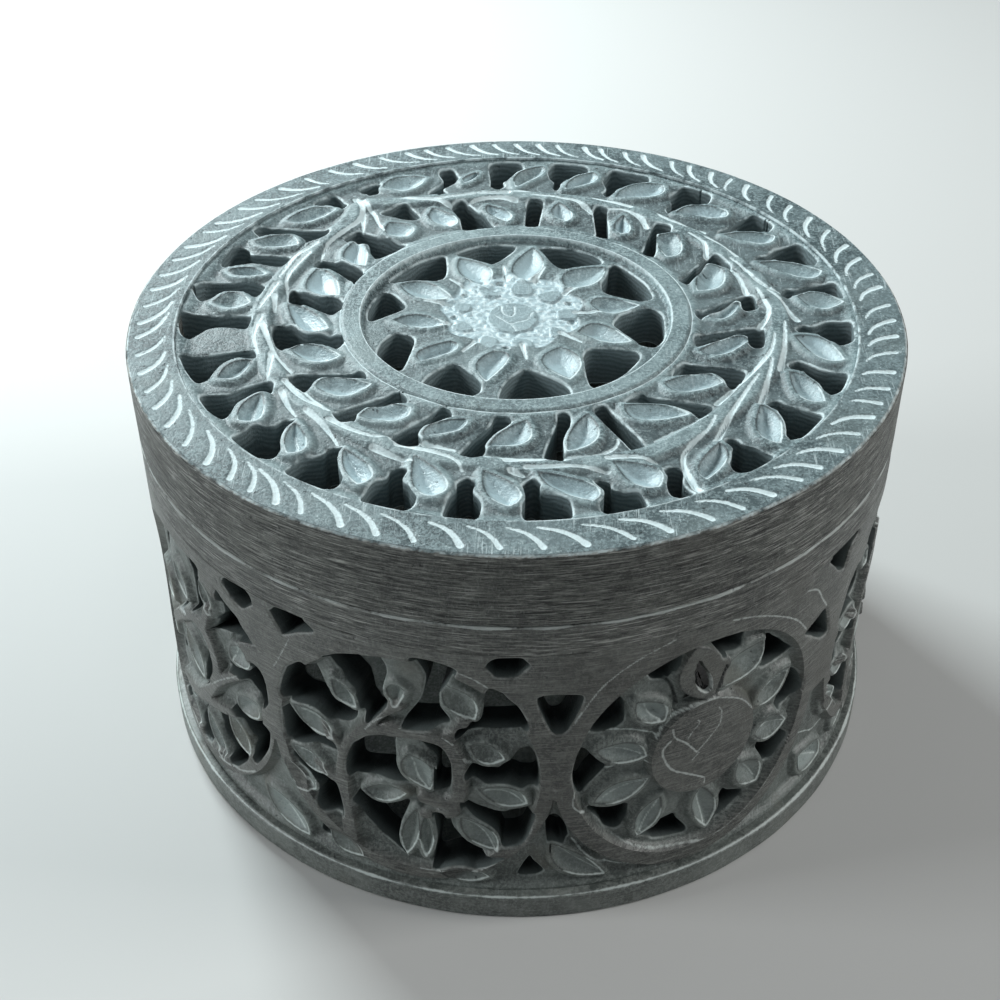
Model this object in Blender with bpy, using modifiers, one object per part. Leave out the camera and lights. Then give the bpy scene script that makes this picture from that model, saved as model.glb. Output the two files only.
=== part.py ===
"""A round soapstone trinket box: a pierced body and a pierced lid that lifts off.

Metres, +Z up. The origin is the middle of the base's underside, and the box's front looks along -Y.
Angles round the box's side run from the front, positive towards +X. Angles on the lid run clockwise
from the back, seen from above.
"""

import math

import bmesh
import bpy

# Sizes of the whole box
OUTER_RADIUS = 0.0500
BODY_HEIGHT = 0.0493
LID_HEIGHT = 0.0099
WALL = 0.0050
FLOOR = 0.0045

# The base ring, and the plain band under the lid
BASE_PROUD = 0.0010
BASE_HEIGHT = 0.0040
BASE_ARRIS = 0.0004
PLAIN_BAND = 0.0043

# The lip on the body that the lid drops over
LIP_HEIGHT = 0.0032
LIP_WIDTH = 0.0023
LIP_CLEARANCE = 0.0003
SEAT_CLEARANCE = 0.0003

# The lid's plate and the levels cut into its top
PLATE = 0.0065
LID_ARRIS = 0.0004
RIM_WIDTH = 0.0062
FIELD_DROP = 0.0003
RING_RADIUS = 0.0228
RING_WIDTH = 0.0026
ROSETTE_DROP = 0.0006

# Turning and cutting
TURN_STEPS = 64
OVERRUN = 0.0020
WELD = 0.00001

# The side's eight medallions in order round the box, each with the angle of its middle. They were set
# out by eye, so they are not quite evenly spaced
MEDALLIONS = (
    ("scroll", -58.5),
    ("vine", -17.5),
    ("sun", 27.5),
    ("vine", 72.5),
    ("scroll", 117.5),
    ("vine", 163.0),
    ("sun", 208.5),
    ("vine", 254.5),
)
MEDALLION_WIDTH_SHARE = 0.978
MEDALLION_HEIGHT_SHARE = 0.937

# The outline of each hole, as shares of the medallion's half width and half height from its middle
VINE_HOLE_SHARES = (
    ((-0.78, 0.27), (-0.77, 0.42), (-0.71, 0.57), (-0.60, 0.67), (-0.52, 0.64), (-0.43, 0.47),
     (-0.25, 0.40), (-0.25, 0.29), (-0.36, 0.22), (-0.54, 0.25)),
    ((-0.43, 0.79), (-0.30, 0.87), (-0.16, 0.91), (-0.05, 0.88), (-0.01, 0.79), (-0.04, 0.60),
     (0.00, 0.53), (-0.14, 0.33), (-0.22, 0.44), (-0.22, 0.56), (-0.37, 0.70)),
    ((0.15, 0.97), (0.30, 0.98), (0.45, 0.92), (0.36, 0.75), (0.32, 0.57), (0.38, 0.42),
     (0.08, 0.36), (0.20, 0.59), (0.24, 0.80)),
    ((0.64, 0.80), (0.72, 0.76), (0.82, 0.63), (0.87, 0.43), (0.55, 0.39), (0.42, 0.33),
     (0.44, 0.43), (0.58, 0.50), (0.61, 0.74)),
    ((0.50, 0.08), (0.68, 0.06), (0.77, 0.14), (0.82, 0.22), (0.91, 0.23), (0.94, 0.03),
     (0.92, -0.10), (0.72, -0.08), (0.48, -0.03)),
    ((0.44, -0.22), (0.56, -0.31), (0.70, -0.35), (0.84, -0.30), (0.92, -0.32), (0.84, -0.60),
     (0.68, -0.63), (0.64, -0.48), (0.45, -0.32)),
    ((0.25, -0.37), (0.33, -0.36), (0.38, -0.52), (0.46, -0.65), (0.60, -0.73), (0.73, -0.74),
     (0.62, -0.84), (0.43, -0.90), (0.24, -0.92), (0.28, -0.60)),
    ((-0.25, -0.35), (-0.12, -0.41), (0.09, -0.34), (0.03, -0.56), (0.07, -0.86), (0.00, -0.86),
     (-0.14, -0.74), (-0.26, -0.60), (-0.31, -0.45)),
    ((-0.31, -0.22), (-0.32, -0.06), (-0.26, 0.11), (-0.14, 0.23), (0.01, 0.27), (0.01, 0.10),
     (0.05, -0.08), (0.13, -0.17), (-0.08, -0.17)),
    ((0.17, 0.26), (0.27, 0.25), (0.36, 0.12), (0.39, 0.00), (0.37, -0.15), (0.30, -0.20),
     (0.26, -0.17), (0.29, -0.05), (0.29, 0.08), (0.24, 0.19)),
    ((-0.80, 0.16), (-0.74, 0.20), (-0.66, 0.12), (-0.54, 0.05), (-0.40, 0.06), (-0.39, -0.07),
     (-0.60, -0.09), (-0.79, -0.12)),
    ((-0.82, -0.26), (-0.76, -0.22), (-0.64, -0.29), (-0.52, -0.32), (-0.41, -0.33), (-0.40, -0.50),
     (-0.38, -0.64), (-0.57, -0.66), (-0.61, -0.50), (-0.72, -0.37)),
)
SUN_HOLE_SHARES = (
    ((-0.79, 0.34), (-0.76, 0.48), (-0.65, 0.61), (-0.58, 0.58), (-0.56, 0.38), (-0.63, 0.33)),
    ((-0.86, 0.20), (-0.80, 0.18), (-0.67, 0.01), (-0.78, -0.13), (-0.83, -0.22), (-0.88, -0.12),
     (-0.90, 0.05)),
    ((-0.79, -0.34), (-0.66, -0.37), (-0.51, -0.38), (-0.51, -0.50), (-0.57, -0.61), (-0.66, -0.57)),
    ((-0.17, -0.61), (-0.05, -0.80), (-0.06, -0.86), (-0.29, -0.81), (-0.46, -0.69), (-0.30, -0.64)),
    ((0.23, -0.59), (0.43, -0.71), (0.40, -0.76), (0.26, -0.82), (0.12, -0.85), (0.18, -0.70)),
    ((0.51, -0.32), (0.73, -0.32), (0.78, -0.37), (0.67, -0.53), (0.59, -0.53)),
    ((0.74, 0.23), (0.82, 0.18), (0.86, 0.04), (0.82, -0.06), (0.63, -0.05), (0.69, 0.12)),
    ((0.41, 0.70), (0.50, 0.68), (0.63, 0.55), (0.73, 0.43), (0.58, 0.40), (0.43, 0.44)),
    ((-0.01, 0.88), (0.06, 0.91), (0.18, 0.90), (0.28, 0.84), (0.23, 0.74), (0.08, 0.72)),
    ((-0.46, 0.79), (-0.36, 0.83), (-0.21, 0.88), (-0.22, 0.79), (-0.28, 0.67), (-0.40, 0.69)),
)
SCROLL_HOLE_SHARES = (
    ((-0.01, 0.84), (0.16, 0.93), (0.35, 0.92), (0.27, 0.72), (0.22, 0.50), (0.11, 0.38), (0.11, 0.54),
     (0.12, 0.70), (0.05, 0.77)),
    ((0.51, 0.80), (0.55, 0.87), (0.74, 0.76), (0.87, 0.60), (0.80, 0.55), (0.64, 0.54), (0.50, 0.45),
     (0.35, 0.36), (0.42, 0.51), (0.51, 0.62)),
    ((0.76, 0.31), (0.80, 0.41), (0.89, 0.41), (0.94, 0.31), (0.94, 0.12), (0.88, 0.03), (0.66, 0.16),
     (0.48, 0.14), (0.52, 0.24), (0.64, 0.23)),
    ((0.50, -0.24), (0.55, -0.14), (0.70, -0.19), (0.86, -0.11), (0.92, -0.15), (0.88, -0.34),
     (0.74, -0.58), (0.68, -0.58), (0.69, -0.42), (0.60, -0.32)),
    ((0.19, -0.47), (0.27, -0.41), (0.37, -0.40), (0.39, -0.53), (0.46, -0.60), (0.64, -0.60),
     (0.47, -0.82), (0.36, -0.87), (0.35, -0.74), (0.24, -0.62)),
    ((-0.07, -0.66), (0.05, -0.64), (0.01, -0.76), (0.05, -0.87), (0.09, -0.94), (-0.08, -0.94),
     (-0.13, -0.78)),
    ((0.07, 0.15), (0.13, 0.20), (0.25, 0.12), (0.29, 0.00), (0.24, -0.18), (0.11, -0.30), (0.15, -0.12),
     (0.14, 0.05)),
    ((-0.10, 0.07), (-0.22, 0.00), (-0.38, -0.13), (-0.38, -0.30), (-0.24, -0.34), (-0.12, -0.28),
     (-0.16, -0.10)),
    ((-0.29, 0.54), (-0.21, 0.62), (-0.17, 0.50), (-0.20, 0.41), (-0.34, 0.33), (-0.38, 0.38)),
    ((-0.24, 0.30), (-0.11, 0.36), (0.00, 0.28), (-0.05, 0.23), (-0.18, 0.20)),
    ((-0.90, 0.20), (-0.80, 0.28), (-0.62, 0.12), (-0.55, -0.05), (-0.75, -0.03), (-0.92, 0.03)),
    ((-0.90, -0.15), (-0.62, -0.18), (-0.48, -0.42), (-0.62, -0.60), (-0.80, -0.47)),
    ((-0.42, -0.62), (-0.26, -0.58), (-0.24, -0.82), (-0.36, -0.86), (-0.50, -0.76)),
    ((-0.60, 0.70), (-0.46, 0.78), (-0.38, 0.68), (-0.50, 0.42), (-0.66, 0.42), (-0.72, 0.55)),
)
# Holes between a medallion and the next one round, from the middle between the two, in the same shares
SPANDREL_HOLE_SHARES = {
    "vine": (
        ((-0.41, 0.97), (-0.35, 1.04), (-0.19, 1.05), (-0.14, 0.99), (-0.23, 0.89), (-0.35, 0.89)),
        ((-0.10, 0.72), (0.16, 0.72), (0.17, 0.63), (0.08, 0.42), (-0.01, 0.42)),
        ((-0.03, -0.40), (0.07, -0.40), (0.12, -0.60), (0.07, -0.65), (-0.02, -0.63)),
        ((-0.14, -0.79), (-0.04, -0.93), (-0.10, -0.98), (-0.22, -0.97)),
    ),
    "scroll": (
        ((-0.30, 0.98), (-0.26, 1.04), (-0.05, 1.05), (-0.02, 0.96), (-0.12, 0.87), (-0.22, 0.90)),
        ((0.13, 0.99), (0.19, 1.05), (0.38, 1.06), (0.47, 0.98), (0.33, 0.91), (0.22, 0.84)),
        ((0.46, -0.80), (0.39, -0.97), (0.30, -0.97), (0.33, -0.87)),
        ((-0.08, -0.62), (-0.01, -0.59), (0.02, -0.67), (-0.06, -0.76)),
    ),
    "sun": (
        ((-0.05, 1.02), (0.00, 1.08), (0.26, 1.09), (0.33, 1.02), (0.22, 0.96), (0.17, 0.83), (0.08, 0.87)),
        ((-0.23, 0.54), (-0.06, 0.61), (0.00, 0.59), (0.07, 0.36), (-0.02, 0.36), (-0.12, 0.44)),
    ),
}

# Holes through the lid's field. Each row has the angles, in degrees, where the hole starts and ends
# at its outer and then at its inner end, and how far out both ends lie, as shares of the field's width
OUTER_HOLE_SHARES = (
    (7, 15, 8.5, 10.5, 0.98, 0.60),
    (19, 28, 20.5, 23.5, 0.98, 0.60),
    (34.5, 42, 36.5, 40, 0.98, 0.60),
    (51.5, 58, 52, 55, 0.98, 0.60),
    (64.5, 73, 65.5, 69.5, 0.98, 0.60),
    (79.5, 86, 80, 84, 0.98, 0.60),
    (92.5, 100, 94, 97.5, 0.98, 0.63),
    (109, 116, 107.5, 111, 0.98, 0.62),
    (122, 131, 122, 126, 0.98, 0.64),
    (136.5, 143.5, 137, 140, 0.98, 0.67),
    (152.5, 155.5, 150.5, 154.5, 0.98, 0.69),
    (160, 167, 163.5, 167, 0.98, 0.66),
    (171.5, 179, 175.5, 179, 0.98, 0.60),
    (185.5, 191, 187, 190.5, 0.98, 0.60),
    (196, 204, 199.5, 203, 0.98, 0.60),
    (209, 218, 212.5, 216.5, 0.98, 0.60),
    (222, 231, 225, 229.5, 0.98, 0.60),
    (235.5, 243.5, 238, 242, 0.98, 0.60),
    (247.5, 256.5, 250.5, 255, 0.98, 0.60),
    (262, 270, 264, 269.5, 0.98, 0.60),
    (275, 282.5, 277, 282.5, 0.98, 0.60),
    (287, 295, 290, 295, 0.98, 0.60),
    (299.5, 303.5, 303, 309, 0.96, 0.56),
    (316, 321.5, 318, 321.5, 0.95, 0.76),
    (326.5, 331, 327, 330, 0.93, 0.80),
    (344, 347.5, 339.5, 343.5, 0.95, 0.56),
    (354.5, 361.5, 354, 357.5, 0.98, 0.60),
)
INNER_HOLE_SHARES = (
    (3, 7.5, 3, 7.5, 0.42, 0.03),
    (21.5, 25.5, 27.5, 32, 0.42, 0.03),
    (39.5, 45, 46, 51, 0.42, 0.03),
    (60.5, 69, 67, 71.5, 0.42, 0.03),
    (81, 88, 87.5, 93, 0.43, 0.03),
    (96, 105, 101, 109, 0.45, 0.05),
    (115, 124, 118, 127, 0.42, 0.05),
    (132, 138.5, 139, 147, 0.44, 0.05),
    (152.5, 156, 152.5, 157, 0.48, 0.03),
    (169.5, 174, 164.5, 168.5, 0.45, 0.02),
    (187, 192, 181.5, 187, 0.43, 0.03),
    (201.5, 208, 198.5, 204, 0.43, 0.03),
    (218, 224, 213.5, 220, 0.43, 0.03),
    (235, 243, 230.5, 236.5, 0.43, 0.03),
    (252, 263, 249, 256, 0.43, 0.03),
    (271, 281, 268, 274.5, 0.43, 0.03),
    (290.5, 298, 286.5, 297, 0.43, 0.03),
    (309.5, 316, 307.5, 320, 0.43, 0.03),
    (325, 332.5, 329, 333, 0.55, 0.33),
    (342.5, 347.5, 342, 352.5, 0.43, 0.03),
)
# How a hole of the outer row narrows: its shoulder and neck, as shares of its length from the inner
# end, and the neck's width as a share of its inner end's
SHOULDER_SHARE = 0.55
NECK_SHARE = 0.30
NECK_WIDTH_SHARE = 0.80
CORNER_SHARE = 0.14

# Holes between the rosette's petals, as shares of the rosette's radius
ROSETTE_HOLE_SHARES = (
    ((-0.41, 0.83), (-0.26, 0.93), (-0.09, 0.95), (0.00, 0.93), (-0.03, 0.84), (-0.16, 0.68), (-0.31, 0.75)),
    ((0.16, 0.90), (0.30, 0.91), (0.43, 0.87), (0.55, 0.78), (0.58, 0.69), (0.31, 0.62), (0.19, 0.82)),
    ((0.68, 0.68), (0.77, 0.56), (0.86, 0.42), (0.90, 0.24), (0.80, 0.20), (0.58, 0.31), (0.59, 0.54)),
    ((0.86, 0.11), (0.95, 0.02), (0.94, -0.25), (0.87, -0.36), (0.77, -0.32), (0.63, -0.12), (0.67, 0.00)),
    ((0.47, -0.38), (0.74, -0.40), (0.77, -0.49), (0.65, -0.68), (0.48, -0.81), (0.44, -0.74), (0.42, -0.49)),
    ((0.09, -0.62), (0.30, -0.78), (0.33, -0.89), (0.20, -0.94), (-0.09, -0.95), (-0.07, -0.77),
     (0.02, -0.64)),
    ((-0.36, -0.56), (-0.22, -0.75), (-0.22, -0.86), (-0.31, -0.91), (-0.43, -0.86), (-0.57, -0.76),
     (-0.48, -0.61)),
    ((-0.76, -0.19), (-0.64, -0.27), (-0.67, -0.47), (-0.70, -0.61), (-0.78, -0.57), (-0.87, -0.43),
     (-0.84, -0.28)),
    ((-0.89, 0.31), (-0.81, 0.29), (-0.72, 0.12), (-0.89, -0.02), (-0.95, -0.04), (-0.96, 0.10)),
    ((-0.54, 0.79), (-0.48, 0.78), (-0.49, 0.48), (-0.84, 0.44), (-0.77, 0.58), (-0.66, 0.71)),
)

# Sizes that follow from those above
INNER_RADIUS = OUTER_RADIUS - WALL
LIP_RADIUS = INNER_RADIUS + LIP_WIDTH
SKIRT_RADIUS = LIP_RADIUS + LIP_CLEARANCE
LID_SEAT = BODY_HEIGHT + SEAT_CLEARANCE
FIELD_RADIUS = OUTER_RADIUS - RIM_WIDTH
ROSETTE_RADIUS = RING_RADIUS - RING_WIDTH
PANEL_MIDDLE = (BASE_HEIGHT + BODY_HEIGHT - PLAIN_BAND) / 2
PANEL_HALF_HEIGHT = (BODY_HEIGHT - PLAIN_BAND - BASE_HEIGHT) / 2
MEDALLION_HALF_WIDTH = math.pi / len(MEDALLIONS) * OUTER_RADIUS * MEDALLION_WIDTH_SHARE
MEDALLION_HALF_HEIGHT = PANEL_HALF_HEIGHT * MEDALLION_HEIGHT_SHARE


def clear_scene():
    for obj in list(bpy.data.objects):
        bpy.data.objects.remove(obj, do_unlink=True)


def new_collection(name):
    collection = bpy.data.collections.new(name)
    bpy.context.scene.collection.children.link(collection)
    return collection


def stone(name, colour, roughness):
    """A plain stone finish: colour is linear red, green and blue."""
    material = bpy.data.materials.new(name)
    material.use_nodes = True
    shader = material.node_tree.nodes["Principled BSDF"]
    shader.inputs["Base Color"].default_value = (*colour, 1)
    shader.inputs["Roughness"].default_value = roughness
    shader.inputs["Metallic"].default_value = 0
    return material


def evaluated_mesh(obj):
    """The object's mesh with its modifiers or its curve worked out."""
    bpy.context.view_layer.update()
    graph = bpy.context.evaluated_depsgraph_get()
    return bpy.data.meshes.new_from_object(obj.evaluated_get(graph), depsgraph=graph)


def turned_piece(name, profile, collection):
    """A solid of revolution about +Z. The profile is (radius, height) from the axis, over the top,
    down the outer side and back to the axis underneath."""
    mesh = bpy.data.meshes.new(name)
    shape = bmesh.new()
    points = [shape.verts.new((radius, 0, height)) for radius, height in profile]
    for upper, lower in zip(points, points[1:]):
        shape.edges.new((upper, lower))
    shape.to_mesh(mesh)
    shape.free()
    obj = bpy.data.objects.new(name, mesh)
    collection.objects.link(obj)
    turn = obj.modifiers.new("turn", "SCREW")
    turn.axis = "Z"
    turn.angle = math.tau
    turn.steps = TURN_STEPS
    turn.render_steps = TURN_STEPS
    turn.use_merge_vertices = True
    turn.merge_threshold = WELD
    turn.use_normal_calculate = False
    return obj


def prisms(name, outlines, depth, collection):
    """One cutter object: each closed flat outline becomes a prism, half above and half below its plane."""
    curve = bpy.data.curves.new(name, "CURVE")
    curve.dimensions = "2D"
    curve.fill_mode = "BOTH"
    curve.extrude = depth / 2
    for outline in outlines:
        spline = curve.splines.new("POLY")
        spline.points.add(len(outline) - 1)
        for point, (x, y) in zip(spline.points, outline):
            point.co = (x, y, 0, 1)
        spline.use_cyclic_u = True
    guide = bpy.data.objects.new(name + "_guide", curve)
    collection.objects.link(guide)
    mesh = evaluated_mesh(guide)
    bpy.data.objects.remove(guide)
    bpy.data.curves.remove(curve)
    shape = bmesh.new()
    shape.from_mesh(mesh)
    bmesh.ops.remove_doubles(shape, verts=shape.verts, dist=WELD)
    bmesh.ops.recalc_face_normals(shape, faces=shape.faces)
    shape.to_mesh(mesh)
    shape.free()
    cutter = bpy.data.objects.new(name, mesh)
    cutter.hide_render = True
    cutter.display_type = "WIRE"
    collection.objects.link(cutter)
    return cutter


def wrap_round_side(cutter, middle_angle, mid_radius):
    """Bends a flat cutter round the box: x becomes the angle, y the height and z the radius."""
    for vertex in cutter.data.vertices:
        along, height, out = vertex.co
        angle = math.radians(middle_angle) + along / OUTER_RADIUS
        radius = mid_radius + out
        vertex.co = (radius * math.sin(angle), -radius * math.cos(angle), height)


def cut(obj, cutters):
    boolean = obj.modifiers.new("pierce", "BOOLEAN")
    boolean.operation = "DIFFERENCE"
    boolean.operand_type = "COLLECTION"
    boolean.collection = cutters
    boolean.solver = "EXACT"


def finish(obj, material):
    """Applies the modifiers, so that the turned faces are smooth and the cut edges sharp."""
    mesh = evaluated_mesh(obj)
    obj.modifiers.clear()
    obj.data = mesh
    mesh.shade_smooth()
    mesh.set_sharp_from_angle(angle=math.radians(30))
    mesh.materials.clear()
    mesh.materials.append(material)


def body_profile():
    base_radius = OUTER_RADIUS + BASE_PROUD
    return (
        (0, FLOOR),
        (INNER_RADIUS, FLOOR),
        (INNER_RADIUS, BODY_HEIGHT + LIP_HEIGHT),
        (LIP_RADIUS, BODY_HEIGHT + LIP_HEIGHT),
        (LIP_RADIUS, BODY_HEIGHT),
        (OUTER_RADIUS, BODY_HEIGHT),
        (OUTER_RADIUS, BASE_HEIGHT),
        (base_radius - BASE_ARRIS, BASE_HEIGHT),
        (base_radius, BASE_HEIGHT - BASE_ARRIS),
        (base_radius, 0),
        (0, 0),
    )


def lid_profile():
    """Heights from the lid's lower edge."""
    field = LID_HEIGHT - FIELD_DROP
    rosette = field - ROSETTE_DROP
    return (
        (0, rosette),
        (ROSETTE_RADIUS, rosette),
        (ROSETTE_RADIUS, field),
        (FIELD_RADIUS, field),
        (FIELD_RADIUS, LID_HEIGHT),
        (OUTER_RADIUS - LID_ARRIS, LID_HEIGHT),
        (OUTER_RADIUS, LID_HEIGHT - LID_ARRIS),
        (OUTER_RADIUS, 0),
        (SKIRT_RADIUS, 0),
        (SKIRT_RADIUS, LID_HEIGHT - PLATE),
        (0, LID_HEIGHT - PLATE),
    )


def medallion_outlines(kind, step_to_next):
    """The flat outlines of a medallion's holes and of those beside it, with its middle on x = 0.
    The step to the next medallion is in degrees."""
    holes = {"vine": VINE_HOLE_SHARES, "sun": SUN_HOLE_SHARES, "scroll": SCROLL_HOLE_SHARES}[kind]
    beside = math.radians(step_to_next / 2) * OUTER_RADIUS
    outlines = []
    for start, group in ((0, holes), (beside, SPANDREL_HOLE_SHARES[kind])):
        for outline in group:
            outlines.append([
                (start + across * MEDALLION_HALF_WIDTH, PANEL_MIDDLE + up * MEDALLION_HALF_HEIGHT)
                for across, up in outline
            ])
    return outlines


def field_point(angle, out_share):
    """A point on the lid, by its angle and how far across the field it lies."""
    radius = RING_RADIUS + (FIELD_RADIUS - RING_RADIUS) * out_share
    turn = math.radians(angle)
    return radius * math.sin(turn), radius * math.cos(turn)


def outer_hole(outer_start, outer_end, inner_start, inner_end, outer_share, inner_share):
    """A hole of the outer row: wide against the rim, with a shoulder and a neck towards the vine."""
    length = outer_share - inner_share
    corner = (outer_end - outer_start) * CORNER_SHARE
    shoulder = inner_share + length * SHOULDER_SHARE
    neck = inner_share + length * NECK_SHARE
    neck_middle = (inner_start + inner_end) / 2
    neck_half = (inner_end - inner_start) / 2 * NECK_WIDTH_SHARE
    outline = (
        (outer_start + corner, outer_share),
        (outer_end - corner, outer_share),
        (outer_end, outer_share - length * CORNER_SHARE),
        (outer_end, shoulder),
        (neck_middle + neck_half, neck),
        (inner_end, inner_share + length * CORNER_SHARE),
        ((inner_start + inner_end) / 2, inner_share),
        (inner_start, inner_share + length * CORNER_SHARE),
        (neck_middle - neck_half, neck),
        (outer_start, shoulder),
        (outer_start, outer_share - length * CORNER_SHARE),
    )
    return [field_point(angle, share) for angle, share in outline]


def inner_hole(outer_start, outer_end, inner_start, inner_end, outer_share, inner_share):
    """A hole of the inner row: a slanted slot with its corners taken off."""
    corner = (outer_end - outer_start) * CORNER_SHARE
    rise = (outer_share - inner_share) * CORNER_SHARE
    outline = (
        (outer_start + corner, outer_share),
        (outer_end - corner, outer_share),
        (outer_end, outer_share - rise),
        (inner_end, inner_share + rise),
        (inner_end - corner, inner_share),
        (inner_start + corner, inner_share),
        (inner_start, inner_share + rise),
        (outer_start, outer_share - rise),
    )
    return [field_point(angle, share) for angle, share in outline]


def rosette_hole(outline):
    return [(across * ROSETTE_RADIUS, up * ROSETTE_RADIUS) for across, up in outline]


def make_body(collection, cutters):
    body = turned_piece("box_body", body_profile(), collection)
    depth = WALL + BASE_PROUD + 2 * OVERRUN
    mid_radius = OUTER_RADIUS + BASE_PROUD + OVERRUN - depth / 2
    for place, (kind, angle) in enumerate(MEDALLIONS):
        next_angle = MEDALLIONS[(place + 1) % len(MEDALLIONS)][1]
        step = (next_angle - angle) % 360
        cutter = prisms(f"body_cutter_{place}", medallion_outlines(kind, step), depth, cutters)
        wrap_round_side(cutter, angle, mid_radius)
    cut(body, cutters)
    finish(body, stone("body_stone", (0.085, 0.090, 0.086), 0.55))


def make_lid(collection, cutters):
    lid = turned_piece("lid", lid_profile(), collection)
    lid.location.z = LID_SEAT
    outlines = {
        "outer_hole_cutter": [outer_hole(*row) for row in OUTER_HOLE_SHARES],
        "inner_hole_cutter": [inner_hole(*row) for row in INNER_HOLE_SHARES],
        "rosette_hole_cutter": [rosette_hole(outline) for outline in ROSETTE_HOLE_SHARES],
    }
    for name, holes in outlines.items():
        cutter = prisms(name, holes, PLATE + 2 * OVERRUN, cutters)
        cutter.location.z = LID_SEAT + LID_HEIGHT - PLATE / 2
    cut(lid, cutters)
    finish(lid, stone("lid_stone", (0.190, 0.215, 0.215), 0.60))


def main():
    clear_scene()
    box = new_collection("soapstone_trinket_box")
    cutters = new_collection("cutters")
    groups = {}
    for name in ("body_cutters", "lid_cutters"):
        groups[name] = bpy.data.collections.new(name)
        cutters.children.link(groups[name])
    make_body(box, groups["body_cutters"])
    make_lid(box, groups["lid_cutters"])


main()
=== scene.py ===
"""The looks of a round soapstone trinket box, carved and pierced by hand, with a lift-off lid.

Metres, +Z up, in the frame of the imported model. Angles on the lid run clockwise from the back, seen
from above. Angles round the side run from the front, positive towards +X. Spots on the box are read
in lid radii, because the pattern was laid out from the lid's middle.
"""

import math

import bmesh
import bpy
import numpy as np
from mathutils import Matrix, Vector


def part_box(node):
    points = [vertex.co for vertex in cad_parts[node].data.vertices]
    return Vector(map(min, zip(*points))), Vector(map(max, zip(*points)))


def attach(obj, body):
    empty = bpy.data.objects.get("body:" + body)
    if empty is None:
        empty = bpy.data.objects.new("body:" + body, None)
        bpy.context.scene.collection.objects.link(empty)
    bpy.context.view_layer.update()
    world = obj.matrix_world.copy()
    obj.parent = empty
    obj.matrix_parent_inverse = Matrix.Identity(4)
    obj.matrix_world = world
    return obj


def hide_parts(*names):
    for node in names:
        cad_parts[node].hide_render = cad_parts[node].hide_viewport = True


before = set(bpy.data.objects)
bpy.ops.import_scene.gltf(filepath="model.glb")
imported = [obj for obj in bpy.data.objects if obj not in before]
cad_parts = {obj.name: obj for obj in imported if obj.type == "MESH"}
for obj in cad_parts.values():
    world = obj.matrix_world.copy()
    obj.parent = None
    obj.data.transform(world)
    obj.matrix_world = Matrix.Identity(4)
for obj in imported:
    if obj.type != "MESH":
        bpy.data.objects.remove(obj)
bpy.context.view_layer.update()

MM = 0.001

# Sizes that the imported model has
_, LID_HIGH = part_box("lid")
_, BODY_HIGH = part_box("box_body")
RADIUS = LID_HIGH.x
BASE_RADIUS = BODY_HIGH.x
TOP = LID_HIGH.z
SEAM = 0.10 * MM
LIP_TOP = BODY_HIGH.z
WALL = 5.0 * MM
FLOOR = 4.5 * MM
BASE_HEIGHT = 4.0 * MM
BASE_ARRIS = 0.4 * MM
BODY_HEIGHT = 49.3 * MM
SEAM_ARRIS = 0.15 * MM
LID_SEAT = BODY_HEIGHT + SEAM
PLAIN_BAND = 4.3 * MM
LIP_WIDTH = 2.3 * MM
LIP_CLEARANCE = 0.3 * MM
PLATE = 6.5 * MM
LID_ARRIS = 0.4 * MM
RIM_WIDTH = 6.2 * MM
FIELD_DROP = 0.3 * MM
RING_RADIUS = 22.8 * MM
RING_WIDTH = 2.6 * MM
ROSETTE_DROP = 0.6 * MM
RING_STEP = 0.10 * MM
INNER_RADIUS = RADIUS - WALL
LIP_RADIUS = INNER_RADIUS + LIP_WIDTH
SKIRT_RADIUS = LIP_RADIUS + LIP_CLEARANCE
FIELD_RADIUS = RADIUS - RIM_WIDTH
ROSETTE_RADIUS = RING_RADIUS - RING_WIDTH
PANEL_TOP = BODY_HEIGHT - PLAIN_BAND
PANEL_MIDDLE = (PANEL_TOP + BASE_HEIGHT) / 2
PLATE_UNDERSIDE = TOP - PLATE

# How finely the stone is modelled
WREATH_CELL = 0.27 * MM
ROSETTE_CELL = 0.19 * MM
PANEL_CELL = 0.21 * MM
TURN_CELL = 0.28 * MM
TURN_STEPS = 1100
CIRCLE_STEPS = 160
HOLE_SPACING = 0.22 * MM
# Where the one row of points on a wall lies, as a share of the way down
WALL_LEVEL = 0.10
# How far a corner of the grid may move to lie on an outline, in cells
SNAP_REACH = 0.52
# How tightly a curve keeps to the corners of a hole
HOLE_PULL = 0.36
# Edges that turn by more degrees than this are shaded sharp
SHARP_ANGLE = 42
WELD = 0.01 * MM
TINY = 1e-12

# How far round an outline each thing is worked out
EDGE_REACH = 2 * MM
SCOOP_REACH = 1.5 * MM
GROUND_REACH = 2 * MM
LEAF_REACH = 3 * MM
NEAR_LEAF = 9 * MM
# A gap in millimetres at which no mark shows
FAR = 9.0
# Which way the lit edge of a scoop faces, whitened there as a painted highlight, and how far that edge widens
# in millimetres
LIT_EDGE_WAY = (0.6, -0.8)
LIT_EDGE_WIDTH = 0.10

# How far the leaves slope down from the vine, to the rim and to the ring, and the petals to the ring
OUTER_SLOPE = 0.08 * MM
INNER_SLOPE = 0.18 * MM
PETAL_SLOPE = 0.12 * MM
# How deep the ground lies between the leaves on the lid, and on the side below its rings and stems
GROUND_DROP = 0.50 * MM
LEAF_DROP = 1.05 * MM
PETAL_RISE = 0.66
# How far from a scoop or from the vine's middle the stone starts to fall, and where it is all the way down
LEAF_SHOULDER = (0.45 * MM, 1.3 * MM)
VINE_SHOULDER = (0.9 * MM, 1.8 * MM)
PETAL_SHOULDER = (0.35 * MM, 1.2 * MM)
SIDE_SHOULDER = (0.40 * MM, 1.20 * MM)
RING_SHOULDER = 0.75 * MM
DISC_SHOULDER = 0.70 * MM
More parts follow.
